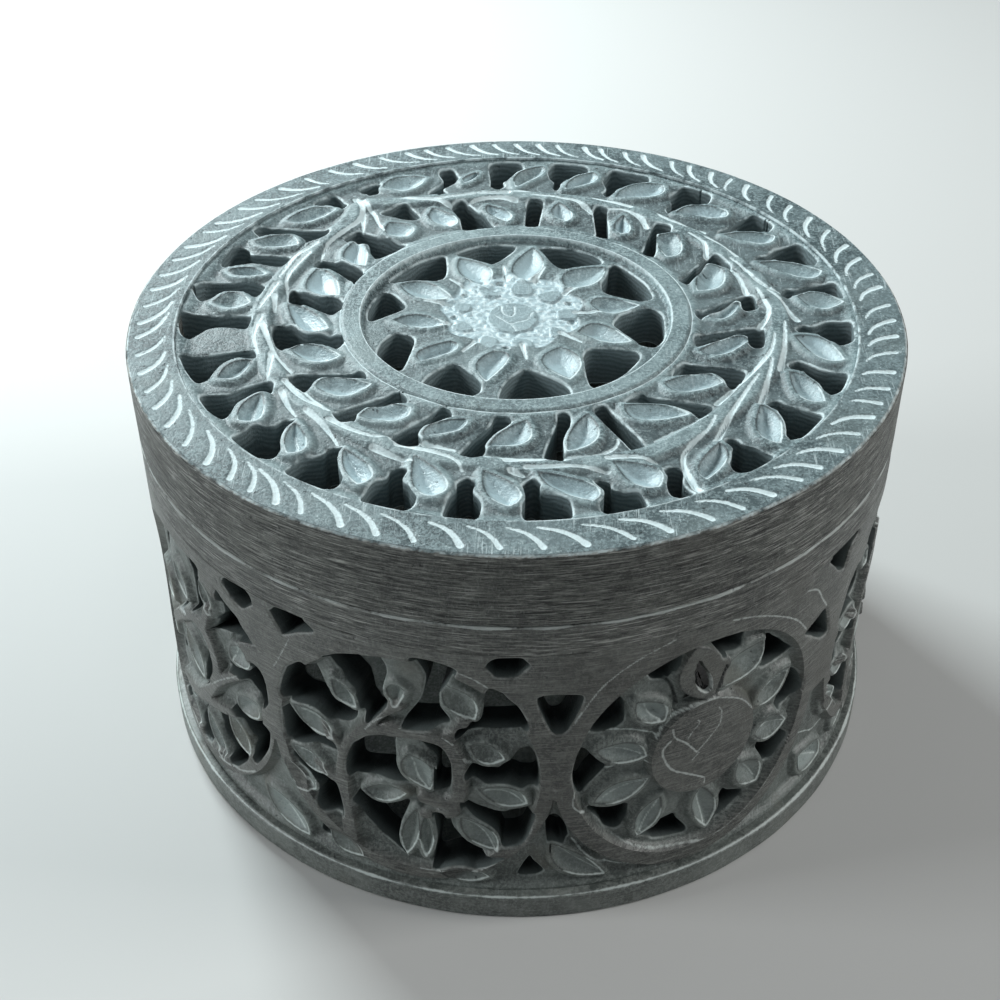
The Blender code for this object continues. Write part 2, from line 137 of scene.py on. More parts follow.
# Where the lid's slopes start and end in lid radii, and where its ground rises to the rim and the ring
OUTER_SLOPE_AT = (0.70, 0.875)
INNER_SLOPE_AT = (0.60, 0.465)
RIM_FOOT = (0.835, 0.872)
RING_FOOT = (0.495, 0.463)
# How much stone stays round a scoop where a hole comes near it
LEAF_MARGIN = 0.42 * MM
READ_MARGIN = 0.22 * MM

# How the edges of the holes are worn: how far in, how deep, and the seed of the unevenness
WREATH_WEAR = (0.32 * MM, 0.16 * MM, 3)
ROSETTE_WEAR = (0.30 * MM, 0.15 * MM, 11)
SIDE_WEAR = (0.38 * MM, 0.20 * MM, 23)
# The scoops: how deep they are, and how steeply their sides fall
LEAF_SCOOP = {"depth": 0.95 * MM, "steepness": 1.4}
PETAL_SCOOP = {"depth": 0.85 * MM, "steepness": 1.5}
PIT_SCOOP = {"depth": 0.45 * MM, "steepness": 2.0}
SIDE_SCOOP = {"depth": 0.85 * MM, "steepness": 1.25}
RESIN_SCOOP = {"depth": 1.6 * MM, "steepness": 4}
# The cuts: half their width, their depth, the shares of that width at their ends, and how far out the
# white goes, as a share of it
STEM_CUT = {"half_width": 0.60 * MM, "depth": 0.42 * MM, "start": 0.35, "end": 1.0, "chalk": 0.72}
VALLEY_CUT = {"half_width": 0.50 * MM, "depth": 0.35 * MM, "start": 1.0, "end": 0.4, "chalk": 0.75}
BUTTON_CUT = {"half_width": 0.22 * MM, "depth": 0.15 * MM, "start": 0.7, "end": 0.7, "chalk": 0.55}
RIM_CUT = {"depth": 0.26 * MM, "start": 1.0, "end": 0.42, "chalk": 0.82}
SIDE_CUT = {"depth": 0.06 * MM, "start": 0.7, "end": 0.7, "chalk": 0.7}
RING_EDGE_CUT = {"half_width": 0.50 * MM, "depth": 0.04 * MM, "chalk": 0.3}
RING_FOOT_CUT = {"half_width": 0.12 * MM, "depth": 0.01 * MM, "chalk": 0.7}
CRACK_CUT = {"half_width": 0.22 * MM, "depth": 0.4 * MM, "chalk": 0}

# The small chips along the arrises of the turned parts, and the gentle wave of their outside
CHIP_LENGTH = 1.6 * MM
CHIP_GROUP = 9 * MM
CHIP_WIDTH = 0.7 * MM
CHIP_DEPTH = 0.09 * MM
WAVE_LENGTH = 12 * MM
WAVE_DEPTH = 0.05 * MM

# The camera of the square picture: its angles in radians, and its sensor and lens in millimetres
CAMERA_DISTANCE = 4.867413 * RADIUS
CAMERA_DOWN = 0.7558186
CAMERA_YAW = -0.0100927
CAMERA_PITCH = 0.0901863
CAMERA_ROLL = -0.000477
SENSOR = 36.0
LENS = 56.935

# How far the lid's spots lie towards the back of where they show, in lid radii, because the carved
# field lies below the rim
FIELD_SHIFT = 0.010
ROSETTE_SHIFT = (-0.010, 0.030)

# Where a knife stroke on the rim starts and how far in it goes, in lid radii, and how it bends: shares of
# its sweep and of its way in
STROKE_START = 0.970
STROKE_LENGTH = 0.068
STROKE_BEND = ((0, 0), (0.22, 0.45), (0.55, 0.80), (1, 1))
STROKE_WIDTH = 0.44 * MM
# The knife strokes on the rim: where each starts at the outer edge and how far round it sweeps
RIM_STROKES = (
    (0, 4.5), (4, 4.5), (7.5, 4.5), (12.5, 4.5), (15.5, 4.5), (20, 4.5), (23.5, 5.5), (29, 4.5),
    (32.5, 4.5), (37, 4), (41, 2), (44.5, 4), (50, 4.5), (54.5, 4), (59.5, 5.5), (64.5, 6), (70, 4.7),
    (74.5, 4.7), (79.5, 4), (83.5, 4), (89, 4), (93.5, 4.5), (98, 3.5), (102.5, 3.5), (108, 2),
    (112.5, 2.5), (116.5, 1.5), (120.3, 4.7), (125, 4.7), (130, 4.7), (135, 4.7), (139, 5.5),
    (144.2, 4.7), (149.3, 4.7), (154, 5.5), (160, 5.5), (165, 6), (171, 6), (176.5, 4.7), (182, 4.7),
    (187, 5), (193, 6), (198, 6.5), (203, 7), (209, 6), (213, 7), (217.5, 5), (221.5, 5.5),
    (226.5, 6.5), (232, 7.5), (237.5, 6.5), (242.5, 6), (247, 6), (252, 5), (257, 4.7), (262, 7),
    (266, 6.5), (271, 6), (276, 5), (280.5, 6), (285.5, 6.5), (290, 6), (295.5, 5.5), (299, 7),
    (305, 5.5), (309, 7), (314.5, 5.5), (320, 2), (325, 4.5), (330, 4.5), (335, 6), (340, 4.5),
    (343.5, 4.5), (347.5, 5.5), (352, 4.5), (356, 4.5),
)

# The scoops in the wreath's leaves. Each row has the angle and radius of its outer tip, its inner tip
# and the middles of its two sides, and how bright the fresh cut is
OUTER_LEAVES = (
    (5.5, 0.83, 0, 0.69, 0.5, 0.78, 5.8, 0.78, 0.2),
    (16.5, 0.82, 12, 0.69, 13, 0.77, 17.8, 0.765, 0.5),
    (31.5, 0.83, 25, 0.69, 26, 0.78, 33, 0.76, 0.6),
    (48, 0.815, 41, 0.7, 42, 0.775, 49.3, 0.765, 0.6),
    (61.5, 0.825, 55.5, 0.705, 57.5, 0.77, 63, 0.765, 0.4),
    (76.5, 0.85, 69.5, 0.705, 72, 0.78, 78, 0.785, 0.3),
    (87.5, 0.86, 85, 0.745, 84, 0.8, 89.8, 0.79, 0.3),
    (106.2, 0.85, 100.5, 0.72, 100.5, 0.79, 106.8, 0.79, 0.9),
    (119.5, 0.85, 113.5, 0.735, 115, 0.8, 120.3, 0.79, 0.5),
    (134, 0.85, 126.8, 0.73, 128.5, 0.795, 134, 0.785, 0.6),
    (149.5, 0.845, 141.3, 0.755, 143.5, 0.81, 148.5, 0.795, 0.4),
    (157, 0.82, 161.5, 0.7, 155.2, 0.76, 160.5, 0.79, 0.8),
    (168, 0.825, 176, 0.705, 167, 0.77, 173.5, 0.77, 0.7),
    (181, 0.825, 186, 0.7, 179.4, 0.77, 184.7, 0.785, 0.8),
    (193, 0.81, 200, 0.68, 192, 0.75, 197, 0.785, 0.9),
    (205.5, 0.825, 213, 0.73, 205, 0.77, 209.7, 0.79, 0.9),
    (220, 0.82, 226, 0.725, 219, 0.77, 223.7, 0.78, 0.6),
    (233, 0.825, 238, 0.725, 231.3, 0.775, 236.7, 0.785, 0.4),
    (246.5, 0.8, 250, 0.7, 245.6, 0.75, 250.3, 0.755, 0.3),
    (273, 0.8, 273, 0.7, 270.8, 0.75, 277, 0.755, 0.1),
    (285, 0.81, 285.5, 0.7, 283.2, 0.76, 287, 0.76, 0.3),
    (297, 0.82, 300, 0.7, 296, 0.765, 302, 0.76, 0.3),
    (307, 0.82, 317, 0.76, 309.5, 0.76, 314, 0.815, 0.3),
    (330.5, 0.8, 340.5, 0.8, 335, 0.745, 335, 0.835, 0.5),
    (352, 0.8, 348, 0.735, 348.5, 0.77, 351, 0.765, 0.6),
)
INNER_LEAVES = (
    (12, 0.605, 16.5, 0.508, 11, 0.54, 17, 0.55, 0.8),
    (31, 0.6, 36, 0.505, 31.5, 0.535, 36.7, 0.54, 0.8),
    (48.5, 0.605, 56, 0.5, 45.5, 0.55, 56, 0.55, 0.3),
    (69.5, 0.6, 78.5, 0.49, 66.5, 0.55, 77.5, 0.56, 0.4),
    (87, 0.59, 93.5, 0.5, 87.5, 0.55, 94.3, 0.545, 0.3),
    (104, 0.61, 112.5, 0.5, 104, 0.56, 112.7, 0.56, 0.5),
    (124, 0.61, 133, 0.495, 123.5, 0.545, 133, 0.56, 0.5),
    (139, 0.63, 149, 0.505, 141.5, 0.56, 149.3, 0.58, 0.5),
    (169.5, 0.635, 160, 0.5, 161.5, 0.6, 166.5, 0.555, 0.6),
    (186, 0.605, 177, 0.495, 177.5, 0.585, 183, 0.54, 0.6),
    (201.5, 0.6, 193, 0.505, 194.5, 0.56, 200.5, 0.54, 0.5),
    (217.5, 0.61, 209.5, 0.51, 209.3, 0.57, 217, 0.54, 0.5),
    (234, 0.605, 226, 0.49, 226.5, 0.575, 235, 0.55, 0.5),
    (251.5, 0.6, 244, 0.49, 244, 0.56, 252, 0.54, 0.7),
    (273, 0.6, 260, 0.49, 260.5, 0.56, 269, 0.53, 0.9),
    (291.5, 0.58, 279.5, 0.475, 280.5, 0.565, 289.5, 0.52, 1),
    (310, 0.58, 300, 0.475, 300.5, 0.55, 308.5, 0.53, 0.9),
    (323, 0.595, 323, 0.5, 318.7, 0.55, 327, 0.54, 0.7),
    (337, 0.61, 338, 0.49, 333.7, 0.55, 341.3, 0.53, 1),
    (352, 0.585, 357, 0.485, 351.5, 0.54, 358.2, 0.53, 1),
)

# The holes on the left, outer row first, from the back to the front. They were read on an enlarged view
# of the lid from straight above, with this middle and this many steps to the lid's radius
VIEW_MIDDLE = (1320, 780)
VIEW_STEPS = 1456
LEFT_HOLES = (
    ((238, 150), (262, 112), (345, 110), (430, 125), (545, 130), (548, 185), (480, 245), (455, 205),
     (430, 180), (330, 180), (285, 188)),
    ((170, 290), (215, 272), (245, 300), (250, 325), (330, 335), (410, 350), (410, 400), (395, 427),
     (330, 415), (270, 395), (235, 400), (150, 425), (145, 385)),
    ((60, 605), (110, 550), (200, 550), (320, 562), (345, 600), (325, 657), (270, 640), (225, 635),
     (180, 640), (110, 685), (90, 675)),
    ((40, 790), (85, 783), (180, 797), (300, 800), (322, 830), (310, 888), (260, 885), (215, 878),
     (165, 890), (130, 930), (100, 962), (70, 940), (50, 870)),
    ((90, 1080), (175, 1075), (240, 1055), (340, 1040), (372, 1085), (365, 1115), (310, 1110), (255, 1130),
     (230, 1180), (215, 1235), (175, 1255), (130, 1190), (100, 1120)),
    ((210, 1330), (300, 1320), (360, 1275), (425, 1248), (460, 1275), (450, 1325), (410, 1330), (370, 1370),
     (335, 1395), (330, 1440), (300, 1480), (250, 1440), (210, 1375)),
    ((515, 405), (540, 375), (570, 385), (640, 405), (685, 440), (715, 470), (720, 590), (690, 590),
     (680, 560), (650, 510), (600, 460), (540, 465), (520, 440)),
    ((440, 625), (455, 605), (495, 640), (570, 665), (640, 685), (660, 745), (630, 795), (590, 770),
     (520, 740), (470, 752), (450, 720), (440, 660)),
    ((405, 885), (425, 865), (480, 885), (520, 915), (590, 935), (670, 945), (688, 985), (670, 1030),
     (620, 1020), (560, 1012), (510, 1030), (480, 1050), (440, 1025), (415, 960)),
)
# How far the middle of such a hole may lie from the model's own hole
SAME_HOLE = 3.5 * MM

# The cuts beside the vine and the leaf stalks, each a run of (angle, radius)
OUTER_STEM_CUTS = (
    ((-2, 0.665), (6, 0.668), (10, 0.675)),
    ((16, 0.668), (25, 0.658), (30, 0.66)),
    ((37, 0.67), (40, 0.655), (46, 0.662), (51, 0.68)),
    ((53.5, 0.657), (60, 0.668), (65, 0.67)),
    ((65, 0.648), (72, 0.655), (76, 0.66), (80, 0.68), (82, 0.7)),
    ((81.5, 0.675), (86, 0.7), (91, 0.715), (93, 0.73)),
    ((95, 0.695), (105, 0.7), (113, 0.71)),
    ((110, 0.68), (115, 0.69), (122, 0.71), (126, 0.725)),
    ((117, 0.67), (125, 0.675), (131, 0.69), (137, 0.715), (141, 0.74)),
    ((135.5, 0.675), (140, 0.7), (146, 0.72), (149, 0.745), (151, 0.8), (152, 0.88)),
    ((154, 0.735), (157, 0.7), (162, 0.68)),
    ((163, 0.73), (167, 0.7), (171, 0.687), (178, 0.682)),
    ((178.5, 0.71), (181, 0.69)),
    ((190, 0.7), (192, 0.67), (196, 0.655), (205, 0.653)),
    ((200, 0.7), (204, 0.695), (209, 0.685)),
    ((215, 0.72), (218, 0.7), (223, 0.68), (228, 0.675)),
    ((228, 0.705), (232, 0.695), (237, 0.68)),
    ((242, 0.69), (247, 0.665), (252, 0.645)),
    ((252, 0.68), (260, 0.68), (268, 0.665)),
    ((270, 0.675), (275, 0.665), (282, 0.658)),
    ((285, 0.66), (295, 0.67), (303, 0.665)),
    ((330, 0.74), (335, 0.69), (340, 0.665), (350, 0.665), (358, 0.66)),
)
# Where the stone on the right is flawed and broke away rough: angle, radius, and size in millimetres
FLAWS = (
    (66, 0.64, 1.3), (72, 0.665, 1.8), (79, 0.69, 1.6), (86, 0.655, 2),
    (80, 0.585, 1.7), (92, 0.6, 1.5), (70, 0.54, 1.4), (62, 0.6, 1.1),
)
# The middle of the vine between them, which stays raised
VINE = (
    (0, 0.65), (30, 0.645), (60, 0.645), (90, 0.682), (120, 0.68), (150, 0.695), (170, 0.68), (190, 0.665),
    (210, 0.662), (240, 0.665), (270, 0.665), (300, 0.657), (315, 0.68), (323, 0.74), (332, 0.69),
    (345, 0.655),
)
INNER_STEM_CUTS = (
    ((4, 0.645), (10, 0.64), (16, 0.63), (20, 0.605), (22, 0.59)),
    ((26, 0.62), (30, 0.63), (35, 0.62), (39, 0.59)),
    ((26.5, 0.555), (28, 0.51), (30, 0.48)),
    ((50, 0.635), (55, 0.635), (58, 0.62), (61, 0.6)),
    ((69, 0.62), (74, 0.625), (81, 0.62)),
    ((80, 0.65), (90, 0.66), (97, 0.63)),
    ((100, 0.67), (107, 0.67), (114, 0.655), (120, 0.64)),
    ((119.5, 0.645), (131, 0.64)),
    ((136.5, 0.66), (150, 0.66)),
    ((157, 0.61), (159, 0.64), (164, 0.655), (171, 0.66)),
    ((172.5, 0.66), (182, 0.655)),
    ((180, 0.65), (191, 0.64)),
    ((193, 0.625), (200, 0.62)),
    ((206.5, 0.62), (210, 0.65), (215, 0.66), (222, 0.662)),
    ((224, 0.64), (232, 0.655), (240, 0.655)),
    ((225, 0.645), (240, 0.64)),
    ((240, 0.62), (247, 0.63), (252, 0.64), (265, 0.66)),
    ((270, 0.63), (277, 0.645)),
    ((278, 0.61), (284, 0.635), (290, 0.645), (298, 0.65)),
    ((297, 0.6), (302, 0.625), (306, 0.64), (312, 0.65), (318, 0.67), (322, 0.72), (323.5, 0.79)),
    ((315, 0.61), (318, 0.65), (321, 0.7)),
    ((344, 0.6), (350, 0.63), (356, 0.635), (360, 0.62)),
    ((319, 0.57), (321, 0.62), (323, 0.68), (324, 0.77)),
    ((325.5, 0.77), (330, 0.73), (334, 0.69), (340, 0.65), (343, 0.61)),
)

# The scoops in the rosette's petals, as x and y in lid radii: outer tip, inner tip and the two sides
ROSETTE_PETALS = (
    ((0.058, 0.329), (0.037, 0.153), (0, 0.215), (0.085, 0.228), 0.8),
    ((-0.145, 0.268), (-0.072, 0.123), (-0.138, 0.18), (-0.06, 0.212), 0.9),
    ((0.255, 0.22), (0.146, 0.11), (0.15, 0.192), (0.222, 0.133), 0.4),
    ((0.334, 0.02), (0.207, 0.026), (0.243, 0.055), (0.257, -0.022), 0.3),
    ((0.304, -0.156), (0.17, -0.114), (0.225, -0.075), (0.237, -0.16), 0.7),
    ((0.143, -0.329), (0.122, -0.186), (0.075, -0.253), (0.172, -0.247), 0.9),
    ((-0.063, -0.338), (-0.048, -0.205), (-0.088, -0.265), (-0.008, -0.235), 0.6),
    ((-0.227, -0.247), (-0.157, -0.156), (-0.233, -0.2), (-0.142, -0.195), 0.6),
    ((-0.308, -0.053), (-0.175, -0.065), (-0.248, -0.027), (-0.236, -0.09), 0.6),
    ((-0.302, 0.129), (-0.157, 0.056), (-0.228, 0.137), (-0.25, 0.06), 0.6),
)
# The cuts between the petals: their angles, and the radii between which they run
ROSETTE_VALLEYS = (354, 22, 57, 93, 131, 171, 212, 248, 281, 314)
VALLEY_REACH = (0.165, 0.235)
# The rough hub: its radius, how far that comes and goes, and in how many lobes
HUB_RADIUS = 0.185
HUB_WAVE = 0.01
HUB_LOBES = 9
HUB_PATCHES = (
    ((-0.095, 0.125), (-0.06, 0.105), (-0.025, 0.075), (-0.075, 0.065)),
    ((0.01, 0.15), (0.04, 0.15), (0.058, 0.1), (0.045, 0.08), (0.01, 0.08), (-0.005, 0.1)),
    ((0.065, 0.07), (0.08, 0.09), (0.12, 0.1), (0.135, 0.085), (0.11, 0.04), (0.08, 0.05)),
    ((0.12, 0.005), (0.17, 0.005), (0.175, -0.02), (0.165, -0.04), (0.12, -0.04)),
    ((0.1, -0.08), (0.125, -0.09), (0.145, -0.115), (0.12, -0.13), (0.1, -0.12)),
    ((0, -0.145), (0.03, -0.138), (0.05, -0.15), (0.055, -0.175), (0.04, -0.19), (0, -0.16)),
    ((-0.08, -0.12), (-0.03, -0.14), (-0.055, -0.19), (-0.08, -0.18)),
    ((-0.155, -0.06), (-0.125, -0.05), (-0.1, -0.09), (-0.12, -0.1), (-0.15, -0.09)),
    ((-0.155, 0.035), (-0.105, 0.035), (-0.115, -0.005), (-0.145, 0)),
)
PIT_HALF = (0.55 * MM, 0.5 * MM)
HUB_PITS = ((-0.03, 0.14), (-0.125, 0.08), (0.15, 0.04), (0.155, -0.055), (-0.015, -0.18), (-0.15, -0.03))
BUTTON_MIDDLE = (0.002, -0.035)
BUTTON_HALF = (0.063, 0.07)
BUTTON_CUTS = (
    ((-0.028, 0.02), (-0.027, 0), (-0.02, -0.02), (-0.003, -0.03), (0.005, -0.02), (0.007, 0),
     (0.005, 0.02)),
    ((-0.045, -0.025), (-0.03, -0.04), (-0.005, -0.065), (0.02, -0.055), (0.04, -0.045), (0.05, -0.02),
     (0.055, -0.01)),
    ((-0.005, -0.065), (0.005, -0.085), (0.01, -0.1)),
)

# The side's medallions in order round the box, each with the angle of its middle
MEDALLIONS = (
    ("scroll", -58.5), ("vine", -17.5), ("sun", 27.5), ("vine", 72.5),
    ("scroll", 117.5), ("vine", 163), ("sun", 208.5), ("vine", 254.5),
)
# Where each kind was read round the side, so that its spots can be moved to every medallion of its kind
READ_AT = {"scroll": -58.5, "vine": -17.5, "sun": 27.5}

# A medallion's ring: its middle, its half width in degrees, half height and band width in lid radii
RINGS = {
    "scroll": (-59.5, 0.495, 21.4, 0.378, 0.04),
    "vine": (-15.9, 0.495, 20.4, 0.378, 0.036),
    "sun": (27.05, 0.492, 20.6, 0.378, 0.044),
}
# Flat stems at the level of the ring, each with its width in lid radii
STEMS = {
    "vine": (
        (0.036, ((-25, 0.16), (-25, 0.22), (-25.5, 0.35), (-25, 0.45), (-23.5, 0.53), (-20.5, 0.61))),
        (0.034, ((-23.5, 0.53), (-19.5, 0.6), (-15, 0.62), (-10, 0.61), (-8, 0.55), (-7.8, 0.48),
                 (-8, 0.42), (-10, 0.39), (-13, 0.4))),
        (0.026, ((-20.5, 0.61), (-19, 0.66), (-16, 0.7))),
        (0.026, ((-10, 0.61), (-8, 0.64), (-7, 0.68))),
        (0.024, ((-8, 0.42), (-9, 0.36), (-13, 0.34))),
        (0.024, ((-25.5, 0.35), (-27, 0.385), (-30, 0.4))),
        (0.024, ((-25, 0.45), (-26, 0.51), (-28, 0.55))),
    ),
    "scroll": (
        (0.036, ((-65, 0.28), (-60, 0.3), (-56, 0.34), (-52, 0.43), (-50, 0.5), (-50.5, 0.58),
                 (-52.5, 0.62), (-56, 0.62), (-61, 0.56), (-66, 0.48))),
        (0.028, ((-52, 0.435), (-47, 0.52), (-44.5, 0.555))),
        (0.028, ((-56, 0.33), (-50, 0.37), (-46, 0.4))),
        (0.026, ((-52.5, 0.62), (-51, 0.68), (-50, 0.72))),
        (0.026, ((-65, 0.28), (-67, 0.2), (-68, 0.15))),
    ),
    "sun": (),
}
# The scoops in a medallion's leaves or petals: two tips and the middles of the two sides, each as an
# angle and a height in lid radii, and how bright the cut is
SIDE_SCOOPS = {
    "vine": (
        (-25.8, 0.727, -22.4, 0.656, -23.2, 0.705, -25.2, 0.675, 0.3),
        (-17.7, 0.745, -15, 0.75, -16.4, 0.7, -16.4, 0.765, 0.3),
        (-9.5, 0.79, -5.5, 0.69, -5.8, 0.755, -9.3, 0.725, 0.1),
        (-6.2, 0.6, -1.6, 0.56, -3.6, 0.605, -4.6, 0.545, 0.1),
        (-5.25, 0.451, 1.5, 0.4035, -0.5, 0.456, -2.2, 0.4, 0.3),
        (-7.8, 0.342, -2.7, 0.233, -3.5, 0.3, -6.8, 0.27, 0.3),
        (-14.2, 0.35, -16.2, 0.17, -16.6, 0.26, -14.2, 0.25, 0.2),
        (-13, 0.33, -13.2, 0.175, -13.9, 0.25, -11.9, 0.25, 0.2),
        (-22.1, 0.374, -15.7, 0.398, -18.8, 0.41, -19, 0.353, 0.2),
        (-14.9, 0.54, -12.1, 0.43, -16, 0.48, -11.6, 0.5, 0.5),
        (-33.1, 0.58, -26.3, 0.527, -28.5, 0.583, -30.3, 0.527, 0.3),
        (-34.1, 0.43, -27.8, 0.386, -30.5, 0.435, -31.2, 0.376, 0.4),
        (-35.6, 0.374, -30.7, 0.298, -31.5, 0.352, -34.7, 0.288, 0.4),
        (-41, 0.2, -33, 0.1, -35, 0.18, -39, 0.115, 0.8),
        (-28.5, 0.18, -23, 0.11, -24.5, 0.17, -27.5, 0.115, 0.2),
        (5, 0.25, 13, 0.11, 6.6, 0.15, 9.8, 0.19, 0.3),
        (-11, 0.13, -4, 0.125, -7.5, 0.155, -7.5, 0.105, 0.2),
    ),
    "sun": (
        (16.34, 0.708, 20.64, 0.624, 17.05, 0.645, 20.4, 0.68, 0.6),
        (10.96, 0.571, 18.3, 0.5175, 16.1, 0.575, 13.7, 0.517, 0.5),
        (10.96, 0.386, 18.85, 0.436, 14, 0.44, 15.3, 0.378, 0.5),
        (17.77, 0.233, 21, 0.355, 17.6, 0.305, 20.9, 0.28, 0.5),
        (27.8, 0.336, 29.4, 0.174, 26.5, 0.265, 30.6, 0.255, 0.4),
        (34.26, 0.361, 38.56, 0.249, 34.6, 0.285, 38.6, 0.32, 0.3),
        (36.77, 0.436, 43.6, 0.414, 40, 0.4706, 40, 0.39, 0.3),
        (36.05, 0.5425, 42.5, 0.611, 38.3, 0.605, 40.3, 0.54, 0.2),
        (29.5, 0.67, 36, 0.765, 30.5, 0.745, 35.5, 0.69, 0.3),
    ),
    "scroll": (
        (-61.5, 0.735, -57.8, 0.655, -58.4, 0.71, -61, 0.68, 0.4),
        (-51.8, 0.79, -49.6, 0.7, -49.6, 0.755, -51.8, 0.735, 0.3),
        (-45.5, 0.6, -41.5, 0.67, -45.2, 0.65, -41.8, 0.61, 0.5),
        (-45, 0.43, -40.8, 0.5, -44.8, 0.48, -41.2, 0.44, 0.4),
        (-48.5, 0.38, -44.5, 0.265, -44.6, 0.33, -48, 0.3, 0.3),
        (-56.5, 0.265, -52.5, 0.135, -52.2, 0.205, -56.2, 0.19, 0.3),
        (-66, 0.215, -62, 0.12, -62.2, 0.18, -66, 0.16, 0.3),
        (-60.5, 0.52, -56, 0.4, -56.4, 0.48, -60.4, 0.44, 0.5),
        (-72, 0.6, -66.5, 0.54, -68, 0.6, -70.5, 0.54, 0.3),
        (-76, 0.42, -69.5, 0.38, -72, 0.43, -73.5, 0.375, 0.3),
    ),
}
# White cuts: midribs, stalk lines and the arcs that mark a ring out, each with its width in millimetres
SIDE_CUTS = {
    "vine": (
        (0.3, ((-7, 0.333), (-5, 0.29), (-3.2, 0.24))),
        (0.3, ((-14.7, 0.521), (-14, 0.468), (-12.3, 0.433))),
        (0.28, ((-25.3, 0.717), (-22.8, 0.665))),
        (0.28, ((-32, 0.57), (-29, 0.555), (-26.8, 0.532))),
        (0.28, ((-33, 0.42), (-30, 0.405), (-28.2, 0.39))),
        (0.28, ((-34.8, 0.362), (-33, 0.32), (-31.2, 0.305))),
        (0.28, ((-4.5, 0.443), (-1.5, 0.43), (0.8, 0.408))),
        (0.34, ((-21, 0.6), (-19, 0.645), (-16, 0.68))),
        (0.34, ((-16, 0.63), (-13.5, 0.645), (-11, 0.65))),
        (0.34, ((-10, 0.625), (-8.5, 0.605))),
        (0.34, ((-7.2, 0.56), (-6.3, 0.53))),
        (0.45, ((-14, 0.135), (-9, 0.138), (-5, 0.158), (-2, 0.185), (0, 0.21))),
        (0.36, ((-7.4, 0.84), (-5.5, 0.825), (-3.6, 0.8))),
        (0.24, ((-35.5, 0.69), (-34, 0.74), (-32, 0.81))),
        (0.24, ((6, 0.24), (8.5, 0.18), (12, 0.13))),
        (0.3, ((-40, 0.19), (-37.5, 0.15), (-34, 0.11))),
    ),
    "sun": (
        (0.34, ((17.59, 0.6925), (18.6, 0.65), (20.28, 0.627))),
        (0.34, ((12.4, 0.486), (15.5, 0.492), (18.67, 0.4925))),
        (0.34, ((12, 0.62), (16.3, 0.605), (19.56, 0.58))),
        (0.3, ((18.1, 0.2425), (20.3, 0.311), (20.8, 0.349))),
        (0.34, ((27.1, 0.3175), (28.3, 0.25), (28.9, 0.1925))),
        (0.28, ((35.7, 0.336), (37.2, 0.3), (38.2, 0.2675))),
        (0.28, ((12.5, 0.563), (15, 0.545), (17.6, 0.525))),
        (0.28, ((12.5, 0.392), (15.5, 0.412), (18.2, 0.432))),
        (0.28, ((37.6, 0.434), (40.5, 0.428), (43, 0.417))),
        (0.26, ((37, 0.552), (40, 0.578), (42, 0.602))),
        (0.52, ((21.7, 0.555), (20.6, 0.53), (21, 0.4925), (22.4, 0.449), (24.9, 0.4175), (27.8, 0.38))),
        (0.42, ((21.9, 0.5925), (22.4, 0.561), (24.2, 0.53), (26, 0.486))),
        (0.34, ((26, 0.486), (27.8, 0.5175), (29.4, 0.555), (29.6, 0.5925), (29.1, 0.614))),
        (0.3, ((25.7, 0.599), (26, 0.586), (24.9, 0.561), (24.4, 0.5425))),
        (0.3, ((25.3, 0.461), (26.4, 0.48))),
        (0.34, ((27.8, 0.38), (27.8, 0.36))),
        (0.4, ((19.6, 0.57), (20.9, 0.61), (23.1, 0.638), (27.8, 0.652), (32.5, 0.614), (35.2, 0.555))),
        (0.24, ((14, 0.249), (17.4, 0.1925), (22.1, 0.155), (29.6, 0.136), (34.3, 0.155), (38.6, 0.199),
                (42.1, 0.261))),
        (0.34, ((7.7, 0.674), (9.5, 0.736), (12, 0.799), (16.3, 0.855), (21.2, 0.889))),
        (0.34, ((29.8, 0.889), (34.3, 0.864), (39.6, 0.811), (42.9, 0.761), (45, 0.711))),
        (0.4, ((43.8, 0.849), (46.4, 0.824), (48.2, 0.774), (49.7, 0.736))),
        (0.3, ((8.1, 0.249), (11.3, 0.174), (16.3, 0.1175), (23.5, 0.0925))),
        (0.4, ((8.1, 0.433), (8, 0.39), (9.7, 0.355))),
        (0.34, ((49.5, 0.275), (52, 0.25), (54, 0.228), (58, 0.208))),
    ),
    "scroll": (
        (0.34, ((-45.3, 0.6), (-44.4, 0.64), (-43.5, 0.665))),
        (0.36, ((-52, 0.435), (-49.5, 0.48), (-47, 0.52), (-44.5, 0.555))),
        (0.5, ((-54, 0.13), (-50, 0.155), (-46, 0.19), (-43, 0.23))),
        (0.28, ((-59.8, 0.51), (-58, 0.46), (-56.5, 0.41))),
        (0.28, ((-60.8, 0.725), (-58.3, 0.665))),
        (0.28, ((-48, 0.37), (-46.3, 0.32), (-44.9, 0.275))),
        (0.3, ((-56, 0.255), (-54.3, 0.2), (-53, 0.145))),
    ),
}
# The sunflower's disc stands level with its ring: middle, half width in degrees, half height
DISC = (27.35, 0.499, 8.35, 0.153)
# A flaw beside one medallion's disc is filled with black resin: its outline, and the cracks that run from it
RESIN_PANEL = 2
RESIN_HOLLOW = (
    (25.3, 0.799), (24.58, 0.7675), (24.9, 0.711), (26.7, 0.674), (27.8, 0.686), (27.1, 0.736), (25.8, 0.774),
)
RESIN_CRACKS = (
    ((19.9, 0.761), (21.5, 0.73), (22.8, 0.655)),
    ((29.8, 0.7425), (29, 0.7), (28.5, 0.655)),
)
# The filling: how far in from the hollow's edge, its heights from the face, and the steps of its dome
RESIN_SHARE = 0.96
RESIN_TOP = -0.75 * MM
RESIN_BOTTOM = -2 * MM
RESIN_DOME = ((0.25, 0.22), (0.3, 0.12), (0.3, 0.05))
# The raised petal round it: its tip, its foot and the middles of its sides
RESIN_PETAL = ((24.6, 0.84), (27.4, 0.65), (22.4, 0.735), (30.4, 0.745))


